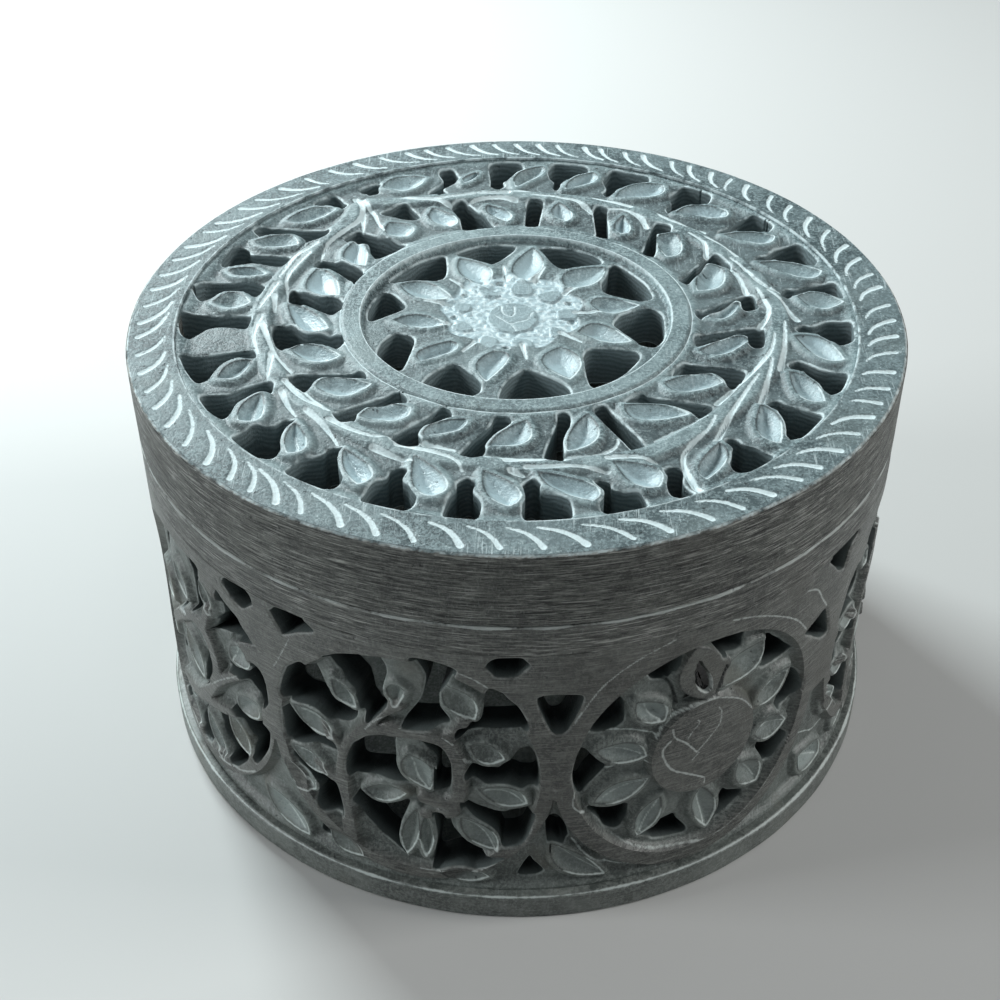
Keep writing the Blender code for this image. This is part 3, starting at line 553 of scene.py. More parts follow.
def smooth_curve(points, closed=False, steps=6, pull=0.5):
    """A flowing curve through every point. A smaller pull keeps its corners tighter."""
    points = np.asarray(points, float)
    if len(points) < 3 and not closed:
        return points
    count = len(points)
    share = np.linspace(0, 1, steps, endpoint=False)[:, None]
    square, cube = share ** 2, share ** 3
    pieces = []
    for place in range(count if closed else count - 1):
        spots = []
        for index in range(place - 1, place + 3):
            spots.append(points[index % count] if closed else points[min(max(index, 0), count - 1)])
        before, start, end, after = spots
        leave, arrive = pull * (end - before), pull * (after - start)
        pieces.append(start * (1 - 3 * square + 2 * cube) + end * (3 * square - 2 * cube)
                      + leave * (share - 2 * square + cube) + arrive * (cube - square))
    if not closed:
        pieces.append(points[-1:])
    return np.concatenate(pieces)


def leaf_outline(tip, base, left, right, steps=9):
    """A pointed leaf from its tip to its base and back, each side one arc through its middle."""
    tip, base, left, right = (np.asarray(spot, float) for spot in (tip, base, left, right))
    sides = []
    for start, middle, end in ((tip, left, base), (base, right, tip)):
        control = 2 * middle - (start + end) / 2
        share = np.linspace(0, 1, steps, endpoint=False)[:, None]
        sides.append((1 - share) ** 2 * start + 2 * share * (1 - share) * control + share ** 2 * end)
    return np.concatenate(sides)


def eased(outline, rounds=2, share=0.22):
    """A closed outline with its corners cut and cut again, as a saw and a file leave them."""
    for _ in range(rounds):
        ahead = np.roll(outline, -1, axis=0)
        near_start = outline + (ahead - outline) * share
        near_end = ahead - (ahead - outline) * share
        outline = np.stack((near_start, near_end), axis=1).reshape(-1, 2)
    return outline


def closed_path(outline):
    return np.concatenate((outline, outline[:1]))


def hole_curve(corners):
    """The flowing outline of a hole through its corners."""
    return smooth_curve(corners, closed=True, steps=5, pull=HOLE_PULL)


def ellipse(middle, half, steps=72):
    turn = np.linspace(0, math.tau, steps, endpoint=False)
    return np.stack((middle[0] + half[0] * np.sin(turn), middle[1] + half[1] * np.cos(turn)), axis=1)


def circle(radius, steps=CIRCLE_STEPS):
    return ellipse((0, 0), (radius, radius), steps)


def measure(points, path):
    """For each point: how far it is from the path, its nearest spot there, and how far along that is."""
    nearest = np.full(len(points), np.inf)
    spot = np.zeros_like(points)
    along = np.zeros(len(points))
    steps = path[1:] - path[:-1]
    lengths = np.hypot(steps[:, 0], steps[:, 1])
    passed = np.concatenate(([0], np.cumsum(lengths)))
    for start, step, length, before in zip(path[:-1], steps, lengths, passed):
        share = np.clip((points - start) @ step / max(length ** 2, TINY), 0, 1)
        foot = start + share[:, None] * step
        gap = np.hypot(points[:, 0] - foot[:, 0], points[:, 1] - foot[:, 1])
        closer = gap < nearest
        nearest[closer] = gap[closer]
        spot[closer] = foot[closer]
        along[closer] = (before + share[closer] * length) / passed[-1]
    return nearest, spot, along


def within(points, outline):
    """Which points lie inside a closed outline."""
    x, y = points.T
    inside = np.zeros(len(points), bool)
    for (ax, ay), (bx, by) in zip(outline, np.roll(outline, -1, axis=0)):
        if ay == by:
            continue
        spans = (ay > y) != (by > y)
        inside ^= spans & (x < (bx - ax) * (y - ay) / (by - ay) + ax)
    return inside


def signed_gap(points, outline):
    """How far each point is from a closed outline, below zero inside it."""
    gap, _, _ = measure(points, closed_path(outline))
    return np.where(within(points, outline), -gap, gap)


def around(points, path, margin):
    """The numbers of the points in the path's bounding box, widened by a margin."""
    low, high = path.min(axis=0) - margin, path.max(axis=0) + margin
    return np.flatnonzero(((points > low) & (points < high)).all(axis=1))


def ramp(value, start, end):
    """0 up to the start, 1 past the end, and a smooth change between. The end may be the lower one."""
    share = np.clip((value - start) / (end - start), 0, 1)
    return share * share * (3 - 2 * share)


def waviness(points, wavelength, seed):
    """Gentle unevenness, between about -1 and 1, with hollows of about this wavelength."""
    draw = np.random.default_rng(seed)
    total = np.zeros(len(points))
    waves = 14
    for _ in range(waves):
        heading = draw.uniform(0, math.tau)
        pitch = math.tau / wavelength * draw.uniform(0.6, 1.5)
        start = draw.uniform(0, math.tau)
        total += np.sin(pitch * (points[:, 0] * math.cos(heading) + points[:, 1] * math.sin(heading)) + start)
    return total / math.sqrt(waves) * 0.8


def unevenness(points, wavelength, seed):
    """The same waves, but between 0 and 1."""
    return np.clip(0.5 + 0.5 * waviness(points, wavelength, seed), 0, 1)


def polar(angle, radius_share, shift=(0, FIELD_SHIFT)):
    """A spot on the lid from its angle and its distance from the middle in lid radii."""
    turn = math.radians(angle)
    return (RADIUS * (radius_share * math.sin(turn) + shift[0]),
            RADIUS * (radius_share * math.cos(turn) + shift[1]))


def unrolled(angle, height_share):
    """A spot on the unrolled side from its angle and its height in lid radii."""
    return RADIUS * math.radians(angle), RADIUS * height_share


def side_path(spots, shift=0):
    """A flowing curve on the unrolled side, moved round it by an angle."""
    return smooth_curve([unrolled(angle + shift, height) for angle, height in spots])


def rolled_up(angle, out, height):
    """Points round the side from their angles, their distances from the axis and their heights."""
    return np.stack((out * np.sin(angle), -out * np.cos(angle), height), axis=1)


def loops_of(edges):
    """The closed runs of corners along some edges."""
    links = {}
    for edge in edges:
        start, end = edge.verts
        links.setdefault(start, []).append(end)
        links.setdefault(end, []).append(start)
    loops = []
    while links:
        start = next(iter(links))
        loop = [start]
        ahead = links.pop(start)
        corner = ahead[0]
        while corner in links:
            loop.append(corner)
            choices = [other for other in links.pop(corner) if other in links]
            if not choices:
                break
            corner = choices[0]
        loops.append([corner.co.copy() for corner in loop])
    return loops


def corners_only(outline, least_turn=5.0):
    """The outline without the points that lie on its straight stretches."""
    back = outline - np.roll(outline, 1, axis=0)
    ahead = np.roll(outline, -1, axis=0) - outline
    turn = np.arctan2(back[:, 0] * ahead[:, 1] - back[:, 1] * ahead[:, 0], (back * ahead).sum(axis=1))
    return outline[np.abs(turn) > math.radians(least_turn)]


def cad_copy(node):
    """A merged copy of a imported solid's mesh."""
    shape = bmesh.new()
    shape.from_mesh(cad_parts[node].data)
    bmesh.ops.remove_doubles(shape, verts=shape.verts, dist=WELD / 5)
    return shape


def lid_holes():
    """The outlines of the holes through the lid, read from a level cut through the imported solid."""
    shape = cad_copy("lid")
    everything = shape.verts[:] + shape.edges[:] + shape.faces[:]
    bmesh.ops.bisect_plane(shape, geom=everything, plane_co=(0, 0, TOP - PLATE / 2), plane_no=(0, 0, 1),
                           clear_inner=True, clear_outer=True)
    holes = []
    for loop in loops_of(shape.edges):
        outline = np.array([(corner.x, corner.y) for corner in loop])
        if np.hypot(*outline.T).min() < RADIUS * 0.95:
            holes.append(hole_curve(corners_only(outline)))
    shape.free()
    return holes


def spread(outline, spacing):
    """The closed outline with points at an even spacing."""
    path = closed_path(outline)
    lengths = np.hypot(*(path[1:] - path[:-1]).T)
    passed = np.concatenate(([0], np.cumsum(lengths)))
    places = np.linspace(0, passed[-1], max(8, round(passed[-1] / spacing)), endpoint=False)
    return np.stack([np.interp(places, passed, path[:, axis]) for axis in (0, 1)], axis=1)


def outside_gap(points, outlines, reach):
    """How far each point is outside the nearest outline, below zero inside it."""
    total = np.full(len(points), reach)
    for outline in outlines:
        picked = around(points, outline, reach)
        if len(picked):
            total[picked] = np.minimum(total[picked], signed_gap(points[picked], outline))
    return total


def kept_clear(hole, leaves, margin=LEAF_MARGIN):
    """A hole's outline, drawn back where it would cut into a leaf."""
    spots = spread(hole, HOLE_SPACING)
    centre = spots.mean(axis=0)
    near = [leaf for leaf in leaves if np.hypot(*(leaf.mean(axis=0) - centre)) < NEAR_LEAF]
    if not near:
        return spots
    inner = np.concatenate([centre + (spots - centre) * share for share in (0, 0.3, 0.6)])
    middle = inner[np.argmax(outside_gap(inner, near, LEAF_REACH))]
    steps = 48
    moved = spots.copy()
    stuck = np.ones(len(spots), bool)
    for step in range(steps):
        trial = spots + (middle - spots) * step / steps
        free = stuck & (outside_gap(trial, near, LEAF_REACH) >= margin)
        moved[free] = trial[free]
        stuck &= ~free
    moved[stuck] = middle + (spots[stuck] - middle) * 0.1
    for _ in range(2):
        moved = (np.roll(moved, 1, axis=0) + 2 * moved + np.roll(moved, -1, axis=0)) / 4
    return moved


def read_closely(hole):
    """The outline read on the enlarged view, if this hole has one there, and the margin round its scoops."""
    for row in LEFT_HOLES:
        spots = (np.array(row) - VIEW_MIDDLE) * (1, -1) / VIEW_STEPS + (0, FIELD_SHIFT)
        if np.hypot(*(spots.mean(axis=0) * RADIUS - hole.mean(axis=0))) < SAME_HOLE:
            return hole_curve(spots * RADIUS), READ_MARGIN
    return hole, LEAF_MARGIN


def side_holes():
    """The outlines of the holes in the unrolled side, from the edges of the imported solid's outer face."""
    shape = cad_copy("box_body")
    near_face = RADIUS - 0.2 * MM
    doomed = []
    for face in shape.faces:
        middle = face.calc_center_median()
        out = Vector((middle.x, middle.y, 0)).normalized()
        low = min(corner.co.z for corner in face.verts)
        outer = min(corner.co.xy.length for corner in face.verts) > near_face
        if not outer or abs(face.normal.dot(out)) < 0.9 or low < BASE_HEIGHT - WELD:
            doomed.append(face)
    bmesh.ops.delete(shape, geom=doomed, context="FACES")
    holes = []
    for loop in loops_of([edge for edge in shape.edges if edge.is_boundary]):
        angles = np.unwrap([math.atan2(corner.x, -corner.y) for corner in loop])
        outline = np.stack((RADIUS * angles, [corner.z for corner in loop]), axis=1)
        outline = corners_only(outline)
        if np.ptp(angles) < math.pi and len(outline) > 3:
            holes.append(hole_curve(outline))
    shape.free()
    return holes


def thicken(shape, bottom):
    """Gives a flat shape a bottom at a height and walls all round, and hands back its top faces."""
    top = shape.faces[:]
    for item in bmesh.ops.extrude_face_region(shape, geom=top, use_keep_orig=True)["geom"]:
        if isinstance(item, bmesh.types.BMVert):
            item.co.z = bottom
    return top


def pierced_sheet(low, high, cell, holes, limits, lines):
    """A flat plate from 0 down to -1, closed all round, with holes through it. The corners of its grid
    that lie near an outline or a line move onto it, so that every cut has a clean edge."""
    low, high = np.asarray(low, float), np.asarray(high, float)
    columns, rows = (max(1, round(length / cell)) for length in high - low)
    shape = bmesh.new()
    bmesh.ops.create_grid(shape, x_segments=columns, y_segments=rows, size=0.5)
    bmesh.ops.scale(shape, verts=shape.verts, vec=(*(high - low), 1))
    bmesh.ops.translate(shape, verts=shape.verts, vec=(*((high + low) / 2), 0))
    points = np.array([corner.co.xy for corner in shape.verts])
    reach = max((high - low) / (columns, rows)) * SNAP_REACH
    count = len(points)
    gap = np.full(count, np.inf)
    spots = points.copy()
    owner = np.zeros(count, int)
    gone = np.zeros(count, bool)
    outlines = [(hole, False) for hole in holes] + [(limit, True) for limit in limits]
    for number, (outline, keeps_inside) in enumerate(outlines, start=1):
        path = closed_path(outline)
        picked = np.arange(count) if keeps_inside else around(points, path, cell)
        nearest, spot, _ = measure(points[picked], path)
        gone[picked] |= within(points[picked], outline) != keeps_inside
        closer = (nearest < reach) & (nearest < gap[picked])
        chosen = picked[closer]
        gap[chosen] = nearest[closer]
        spots[chosen] = spot[closer]
        owner[chosen] = number
    cut = owner > 0
    free = ~cut & (points > low + WELD).all(axis=1) & (points < high - WELD).all(axis=1)
    for number, path in enumerate(lines, start=len(outlines) + 1):
        picked = around(points, path, cell)
        picked = picked[free[picked]]
        nearest, spot, _ = measure(points[picked], path)
        chosen = picked[nearest < reach]
        spots[chosen] = spot[nearest < reach]
        owner[chosen] = number
        free[chosen] = False
    for corner, spot in zip(shape.verts, spots):
        corner.co.xy = spot
    grid = np.arange(count).reshape(rows + 1, columns + 1)
    quads = np.stack((grid[:-1, :-1], grid[:-1, 1:], grid[1:, 1:], grid[1:, :-1]), axis=-1).reshape(-1, 4)
    outside = gone & ~cut
    inside = ~gone & ~cut
    dead = outside[quads].any(axis=1) & ~inside[quads].any(axis=1)
    held = owner[quads]
    rising = (held[:, 0] > 0) & (held[:, 0] == held[:, 2]) & ~((held[:, 1] > 0) & (held[:, 1] == held[:, 3]))
    faces = shape.faces[:]
    for method, choice in (("FIXED", rising & ~dead), ("ALTERNATE", ~rising & ~dead)):
        bmesh.ops.triangulate(shape, faces=[faces[place] for place in np.flatnonzero(choice)],
                              quad_method=method)
    faces = shape.faces[:]
    corners = [[corner.index for corner in face.verts] for face in faces]
    triangles = np.array([row[:3] for row in corners])
    four_sided = np.array([len(row) == 4 for row in corners])
    remove = outside[triangles].any(axis=1) | four_sided
    unsure = np.flatnonzero(cut[triangles].all(axis=1) & ~four_sided)
    middles = spots[triangles[unsure]].mean(axis=1)
    lost = np.zeros(len(unsure), bool)
    for outline, keeps_inside in outlines:
        if keeps_inside:
            lost |= ~within(middles, outline)
        else:
            near = around(middles, outline, cell)
            lost[near] |= within(middles[near], outline)
    remove[unsure] |= lost
    bmesh.ops.delete(shape, geom=[faces[place] for place in np.flatnonzero(remove)], context="FACES")
    bmesh.ops.dissolve_degenerate(shape, edges=shape.edges, dist=WELD / 10)
    thicken(shape, -1)
    everything = shape.verts[:] + shape.edges[:] + shape.faces[:]
    bmesh.ops.bisect_plane(shape, geom=everything, dist=WELD / 10, plane_co=(0, 0, -WALL_LEVEL),
                           plane_no=(0, 0, 1))
    bmesh.ops.recalc_face_normals(shape, faces=shape.faces)
    return shape


class Carving:
    """What the tools took off a flat face at each of its points, the marks that they left, and the painted
    light and shade on it.
    """

    def __init__(self, points, holes):
        self.points = points
        count = len(points)
        self.level = np.zeros(count)
        self.hollow = np.zeros(count)
        self.groove = np.zeros(count)
        self.chalk_gap = np.full(count, FAR)
        self.shadow_and_resin_line_gap = np.full(count, FAR)
        self.edge_gap = np.full(count, FAR)
        self.fresh = np.zeros(count)
        self.flat = np.zeros(count)
        self.low = np.zeros(count)
        for hole in holes:
            path = closed_path(hole)
            picked = around(points, path, EDGE_REACH)
            gap, _, _ = measure(points[picked], path)
            self.edge_gap[picked] = np.minimum(self.edge_gap[picked], gap / MM)

    def lower(self, share, depth):
        """Takes the face down by a depth where the share is 1."""
        self.level = np.maximum(self.level, share * depth)

    def round_edges(self, width, depth, seed):
        """Wears the edges of the holes down, more in some places than in others."""
        worn = width / MM * (1 + 0.45 * waviness(self.points, 3 * MM, seed))
        share = 1 - np.clip(self.edge_gap / np.maximum(worn, 0.05), 0, 1)
        self.level = self.level + depth * share ** 2

    def scoop(self, outline, fresh, depth, steepness):
        """A smooth hollow with a clean outline, deepest along its middle, with painted light and shade along
        its edges.
        """
        path = closed_path(outline)
        picked = around(self.points, path, SCOOP_REACH)
        if not len(picked):
            return
        spots = self.points[picked]
        gap, foot, _ = measure(spots, path)
        inside = within(spots, outline)
        away = foot - outline.mean(axis=0)
        # How far each edge faces the lit way: there the white cut edge is widened as a painted highlight
        facing = (away @ LIT_EDGE_WAY) / np.maximum(np.hypot(*away.T), TINY)
        painted_highlight_gap = gap / MM - LIT_EDGE_WIDTH * ramp(facing, 0.1, 0.8) + FAR * (facing < 0.1)
        self.chalk_gap[picked] = np.minimum(self.chalk_gap[picked], painted_highlight_gap)
        if inside.any():
            share = np.clip(gap / (gap[inside].max() * 0.95), 0, 1) * inside
            bowl = 1 - (1 - share) ** steepness
            self.hollow[picked] = np.maximum(self.hollow[picked], depth * bowl)
            self.fresh[picked] = np.maximum(self.fresh[picked], fresh * ramp(share, 0.0, 0.35))
        # A painted shadow line along the edges that are turned from the light
        shadow_and_resin_line = gap / MM + FAR * ramp(facing, 0.1, 0.5)
        self.shadow_and_resin_line_gap[picked] = np.minimum(self.shadow_and_resin_line_gap[picked], shadow_and_resin_line)

    def cut(self, path, half_width, depth, start=1.0, end=1.0, chalk=1.0):
        """A V-shaped cut along a path, as wide at its start and end as those shares of its width."""
        picked = around(self.points, path, half_width * 4)
        if not len(picked):
            return
        gap, _, along = measure(self.points[picked], path)
        width = half_width * (start + (end - start) * along)
        share = gap / np.maximum(width, 0.04 * MM)
        sunk = depth * np.clip(1 - share, 0, 1) * width / half_width
        self.groove[picked] = np.maximum(self.groove[picked], sunk)
        if chalk:
            self.chalk_gap[picked] = np.minimum(self.chalk_gap[picked], (gap - width * chalk) / MM)

    def depth(self):
        return self.level + self.hollow + self.groove


def add_object(name, data):
    made = bpy.data.objects.new(name, data)
    bpy.context.scene.collection.objects.link(made)
    return made


def finish_piece(name, shape, place_points, material):
    """Makes an object of a shape. place_points moves the corners and gives the marks on them."""
    mesh = bpy.data.meshes.new(name)
    shape.to_mesh(mesh)
    shape.free()
    spots = np.empty(len(mesh.vertices) * 3)
    mesh.vertices.foreach_get("co", spots)
    spots, marks = place_points(spots.reshape(-1, 3))
    mesh.vertices.foreach_set("co", spots.ravel())
    for mark, values in marks.items():
        attribute = mesh.attributes.new(mark, "FLOAT", "POINT")
        attribute.data.foreach_set("value", np.ascontiguousarray(values, np.float32))
    mesh.materials.append(material)
    mesh.update()
    mesh.shade_smooth()
    mesh.set_sharp_from_angle(angle=math.radians(SHARP_ANGLE))
    return add_object(name, mesh)


def marks_of(carving, wall):
    """The marks on carved stone, and its painted light and shade. Most of them stay off the walls of its
    holes.
    """
    on_face = wall == 0
    return {
        "chalk_gap": np.where(wall == 1, FAR, carving.chalk_gap),
        "shadow_and_resin_line_gap": np.where(on_face, carving.shadow_and_resin_line_gap, FAR),
        "edge_gap": carving.edge_gap,
        "fresh": carving.fresh * on_face,
        "flat": carving.flat * on_face,
        "low": carving.low * on_face,
        "wall": wall,
    }


def plain_marks(count, **known):
    """The marks on stone that nothing was carved into, but for those that are known."""
    marks = {name: np.full(count, FAR) for name in ("chalk_gap", "shadow_and_resin_line_gap", "edge_gap")}
    marks.update({name: np.zeros(count) for name in ("fresh", "flat", "low", "wall")})
    marks.update(known)
    return marks


def lid_piece(name, shape, carve, top, material):
    """Finishes a part of the lid's plate whose flat face lies at a height."""
    def place_points(spots):
        wall = np.clip(-spots[:, 2], 0, 1)
        carving = carve(spots[:, :2].copy())
        thickness = top - PLATE_UNDERSIDE
        spots[:, 2] = top - carving.depth() * (1 - wall) - wall * thickness
        return spots, marks_of(carving, wall)
    return finish_piece(name, shape, place_points, material)


def stem_paths(rows):
    return [smooth_curve([polar(*spot) for spot in row]) for row in rows]


def leaf_paths(rows):
    outlines = []
    for row in rows:
        tip, base, left, right = (polar(*row[place:place + 2]) for place in (0, 2, 4, 6))
        outlines.append((leaf_outline(tip, base, left, right), row[8]))
    return outlines


def make_wreath(holes, material):
    stems = stem_paths(OUTER_STEM_CUTS + INNER_STEM_CUTS)
    leaves = leaf_paths(OUTER_LEAVES + INNER_LEAVES)
    outlines = [outline for outline, _ in leaves]
    vine = closed_path(smooth_curve([polar(*spot) for spot in VINE], closed=True))
    holes = [kept_clear(outline, outlines, margin) for outline, margin in map(read_closely, holes)]
    rim = circle(FIELD_RADIUS, 240)
    ring = circle(RING_RADIUS)
    lines = [closed_path(outline) for outline in outlines]
    corner = np.array((FIELD_RADIUS, FIELD_RADIUS)) + WREATH_CELL
    shape = pierced_sheet(-corner, corner, WREATH_CELL, holes + [ring], [rim], lines)

    def carve(points):
        carving = Carving(points, holes)
        out = np.hypot(*points.T) / RADIUS
        carving.lower(ramp(out, *OUTER_SLOPE_AT), OUTER_SLOPE)
        carving.lower(ramp(out, *INNER_SLOPE_AT), INNER_SLOPE)
        body = 1 - ramp(outside_gap(points, outlines, GROUND_REACH), *LEAF_SHOULDER)
        from_vine, _, _ = measure(points, vine)
        body = np.maximum(body, 1 - ramp(from_vine, *VINE_SHOULDER))
        body = np.maximum(body, np.maximum(ramp(out, *RIM_FOOT), ramp(out, *RING_FOOT)))
        carving.level += (1 - body) * GROUND_DROP
        # Painted shade on the ground that lies low between the leaves and the vine
        carving.low = 1 - body
        carving.round_edges(*WREATH_WEAR)
        for outline, fresh in leaves:
            carving.scoop(outline, fresh, **LEAF_SCOOP)
        for path in stems:
            carving.cut(path, **STEM_CUT)
        carving.cut(closed_path(ring), **RING_EDGE_CUT)
        carving.level += 0.10 * MM * unevenness(points, 4 * MM, seed=5)
        broken = np.zeros(len(points))
        for angle, radius, size in FLAWS:
            away = np.hypot(*(points - polar(angle, radius)).T)
            broken = np.maximum(broken, 1 - ramp(away, 0.3 * size * MM, size * MM))
        crack = np.clip(0.9 - np.abs(waviness(points, 1.8 * MM, seed=7)) * 4, 0, 1)
        carving.groove += broken * (0.10 + 0.30 * crack) * MM
        # The broken stone and its cracks are darkened through the same mark, the cracks more
        carving.low = np.clip(carving.low + broken * (0.35 + 1.4 * crack), 0, 2.2)
        return carving

    return lid_piece("lid_wreath", shape, carve, TOP - FIELD_DROP, material)


def make_rosette(holes, material):
    def shown(spot):
        return tuple(RADIUS * (part + shift) for part, shift in zip(spot, ROSETTE_SHIFT))

    petals = [(leaf_outline(*map(shown, row[:4])), row[4]) for row in ROSETTE_PETALS]
    outlines = [outline for outline, _ in petals]
    holes = [kept_clear(hole, outlines) for hole in holes]
    patches = [eased(np.array([shown(spot) for spot in patch])) for patch in HUB_PATCHES]
    middle = shown((0, 0))
    valleys = []
    for angle in ROSETTE_VALLEYS:
        turn = math.radians(angle)
        way = np.array((math.sin(turn), math.cos(turn)))
        valleys.append(np.array([middle + way * reach * RADIUS for reach in VALLEY_REACH]))
    button = ellipse(shown(BUTTON_MIDDLE), (BUTTON_HALF[0] * RADIUS, BUTTON_HALF[1] * RADIUS), 60)
    button_cuts = [smooth_curve([shown(spot) for spot in row]) for row in BUTTON_CUTS]
    edge = circle(RING_RADIUS)
    ring = circle(ROSETTE_RADIUS + RING_STEP)
    foot = circle(ROSETTE_RADIUS - RING_STEP)
    lines = [closed_path(outline) for outline in outlines + [ring, foot, button] + patches]
    corner = np.array((RING_RADIUS, RING_RADIUS)) + ROSETTE_CELL
    shape = pierced_sheet(-corner, corner, ROSETTE_CELL, holes, [edge], lines)

    def carve(points):
        carving = Carving(points, holes)
        out = np.hypot(*points.T)
        inward = np.clip((ROSETTE_RADIUS + RING_STEP - out) / (2 * RING_STEP), 0, 1)
        carving.lower(inward, ROSETTE_DROP)
        slope = ramp(out, 0.55 * ROSETTE_RADIUS, ROSETTE_RADIUS)
        carving.level += PETAL_SLOPE * slope * (out < ROSETTE_RADIUS)
        body = 1 - ramp(outside_gap(points, outlines, GROUND_REACH), *PETAL_SHOULDER)
        body = np.where(out < ROSETTE_RADIUS - 0.3 * MM, body, 1)
        carving.level += (1 - body) * 0.5 * GROUND_DROP
        # Painted shade on the ground between the petals
        carving.low = 1 - body
        carving.lower(ramp(out, RING_RADIUS - 0.35 * MM, RING_RADIUS), INNER_SLOPE + 0.06 * MM)
        carving.round_edges(*ROSETTE_WEAR)
        for outline, fresh in petals:
            carving.scoop(outline, fresh, **PETAL_SCOOP)
        for path in valleys:
            carving.cut(path, **VALLEY_CUT)
        across, along = (points - middle).T
        hub = (HUB_RADIUS + HUB_WAVE * np.cos(HUB_LOBES * np.arctan2(across, along) + 0.6)) * RADIUS
        rough = ramp(hub - np.hypot(across, along), 0, 0.5 * MM)
        # Less painted shade on the rough hub
        carving.low = carving.low * (0.65 - 0.65 * rough)
        carving.fresh = np.maximum(carving.fresh, 0.45 * rough)
        for patch in patches + [button]:
            near = around(points, patch, 1 * MM)
            rough[near] *= ramp(signed_gap(points[near], patch), 0.02 * MM, 0.22 * MM)
        picked = waviness(points, 1.3 * MM, seed=13)
        carving.groove += rough * (0.22 + 0.07 * picked) * MM
        carving.fresh = np.maximum(carving.fresh, 0.95 * rough)
        vein = np.clip(1 - np.abs(picked) * 2.5, 0, 1)
        carving.chalk_gap = np.minimum(carving.chalk_gap, 0.75 - (0.66 + 0.16 * vein) * rough)
        for spot in HUB_PITS:
            carving.scoop(ellipse(shown(spot), PIT_HALF, 24), 0, **PIT_SCOOP)
        for path in button_cuts:
            carving.cut(path, **BUTTON_CUT)
        carving.cut(closed_path(ring), **RING_FOOT_CUT)
        return carving

    return lid_piece("lid_rosette", shape, carve, TOP - FIELD_DROP, material)


def dense(rows, closed=True):
    """A profile with points along its straight runs. Each row is radius, height and the spacing of the
    points from there to the next row."""
    profile = []
    following = rows[1:] + rows[:1] if closed else rows[1:]
    for (radius, height, step), (next_radius, next_height, _) in zip(rows, following):
        across, up = next_radius - radius, next_height - height
        count = max(1, round(math.hypot(across, up) / step))
        for place in range(count):
            share = place / count
            profile.append((radius + across * share, height + up * share))
    if not closed:
        profile.append(rows[-1][:2])
    return profile


def turned_shape(profile, steps, closed=True):
    """A solid of revolution from a profile round the +Z axis: a grid rolled up and joined at its seams."""
    rows = len(profile) if closed else len(profile) - 1
    shape = bmesh.new()
    bmesh.ops.create_grid(shape, x_segments=steps, y_segments=rows, size=1)
    seam = []
    for place, corner in enumerate(shape.verts):
        row, column = divmod(place, steps + 1)
        radius, height = profile[row % len(profile)]
        turn = column / steps * math.tau
        corner.co = (radius * math.sin(turn), radius * math.cos(turn), height)
        if column in (0, steps) or row in (0, rows) or radius < TINY:
            seam.append(corner)
    bmesh.ops.remove_doubles(shape, verts=seam, dist=WELD / 5)
    bmesh.ops.recalc_face_normals(shape, faces=shape.faces)
    return shape


def unrolled_points(spots):
    """Where points on the outside come to lie when it is laid out flat."""
    return np.stack((np.arctan2(spots[:, 0], spots[:, 1]) * RADIUS, spots[:, 2]), axis=1)


def turned_marks(spots, arrises, seed):
    """Knocks small chips off the arrises, and marks how far each point is from the nearest one."""
    out = np.hypot(spots[:, 0], spots[:, 1])
    flat = unrolled_points(spots)
    gap = np.full(len(spots), FAR * MM)
    for radius, height in arrises:
        gap = np.minimum(gap, np.hypot(out - radius, spots[:, 2] - height))
    chip = np.clip(waviness(flat, CHIP_LENGTH, seed) - 0.35, 0, 1)
    chip *= np.clip(waviness(flat, CHIP_GROUP, seed + 1) + 0.7, 0, 1)
    sunk = CHIP_DEPTH * chip * (1 - ramp(gap, 0.0, CHIP_WIDTH))
    wave = WAVE_DEPTH * unevenness(flat, WAVE_LENGTH, seed + 2)
    outer = out > RADIUS - 1 * MM
    share = np.where(outer, 1 - (sunk + wave) / np.maximum(out, MM), 1)
    spots[:, :2] *= share[:, None]
    return gap / MM


def make_rim(stone):
    """The lid's plain rim with its knife strokes, its outer band and the skirt that drops over the lip."""
    coarse = 1.2 * MM
    field = TOP - FIELD_DROP
    rows = [
        (FIELD_RADIUS, PLATE_UNDERSIDE, coarse),
        (FIELD_RADIUS, field - 0.10 * MM, TURN_CELL),
        (FIELD_RADIUS + 0.15 * MM, TOP, TURN_CELL),
        (RADIUS - LID_ARRIS, TOP, TURN_CELL / 2),
        (RADIUS, TOP - LID_ARRIS, 2 * TURN_CELL),
        (RADIUS, TOP - 2 * MM, coarse),
        (RADIUS, LID_SEAT + 1 * MM, 2 * TURN_CELL),
        (RADIUS, LID_SEAT + SEAM_ARRIS, TURN_CELL),
        (RADIUS - SEAM_ARRIS, LID_SEAT, coarse),
        (SKIRT_RADIUS, LID_SEAT, coarse),
        (SKIRT_RADIUS, PLATE_UNDERSIDE, coarse),
    ]
    arrises = (
        (RADIUS - LID_ARRIS / 2, TOP - LID_ARRIS / 2),
        (RADIUS, LID_SEAT),
        (FIELD_RADIUS + 0.1 * MM, TOP - 0.05 * MM),
    )
    shape = turned_shape(dense(rows), TURN_STEPS)

    def place_points(spots):
        flat = spots[:, :2].copy()
        on_top = spots[:, 2] > TOP - 0.1 * MM
        lid_face = (np.hypot(*flat.T) < RADIUS - LID_ARRIS / 2) & (spots[:, 2] > field - 0.4 * MM)
        carving = Carving(flat, [])
        for number, (start, sweep) in enumerate(RIM_STROKES):
            stroke = smooth_curve([polar(start + sweep * across, STROKE_START - STROKE_LENGTH * down, (0, 0))
                                   for across, down in STROKE_BEND])
            bold = 1.05 + 0.18 * math.sin(number * 2.4)
            carving.cut(stroke, STROKE_WIDTH * bold, **RIM_CUT)
        spots[:, 2] -= carving.groove * on_top
        edge_gap = turned_marks(spots, arrises, seed=31)
        return spots, plain_marks(len(spots), chalk_gap=np.where(on_top, carving.chalk_gap, FAR),
                                  edge_gap=edge_gap, flat=np.where(lid_face, 0.0, 1.0))

    return finish_piece("lid_rim", shape, place_points, stone)


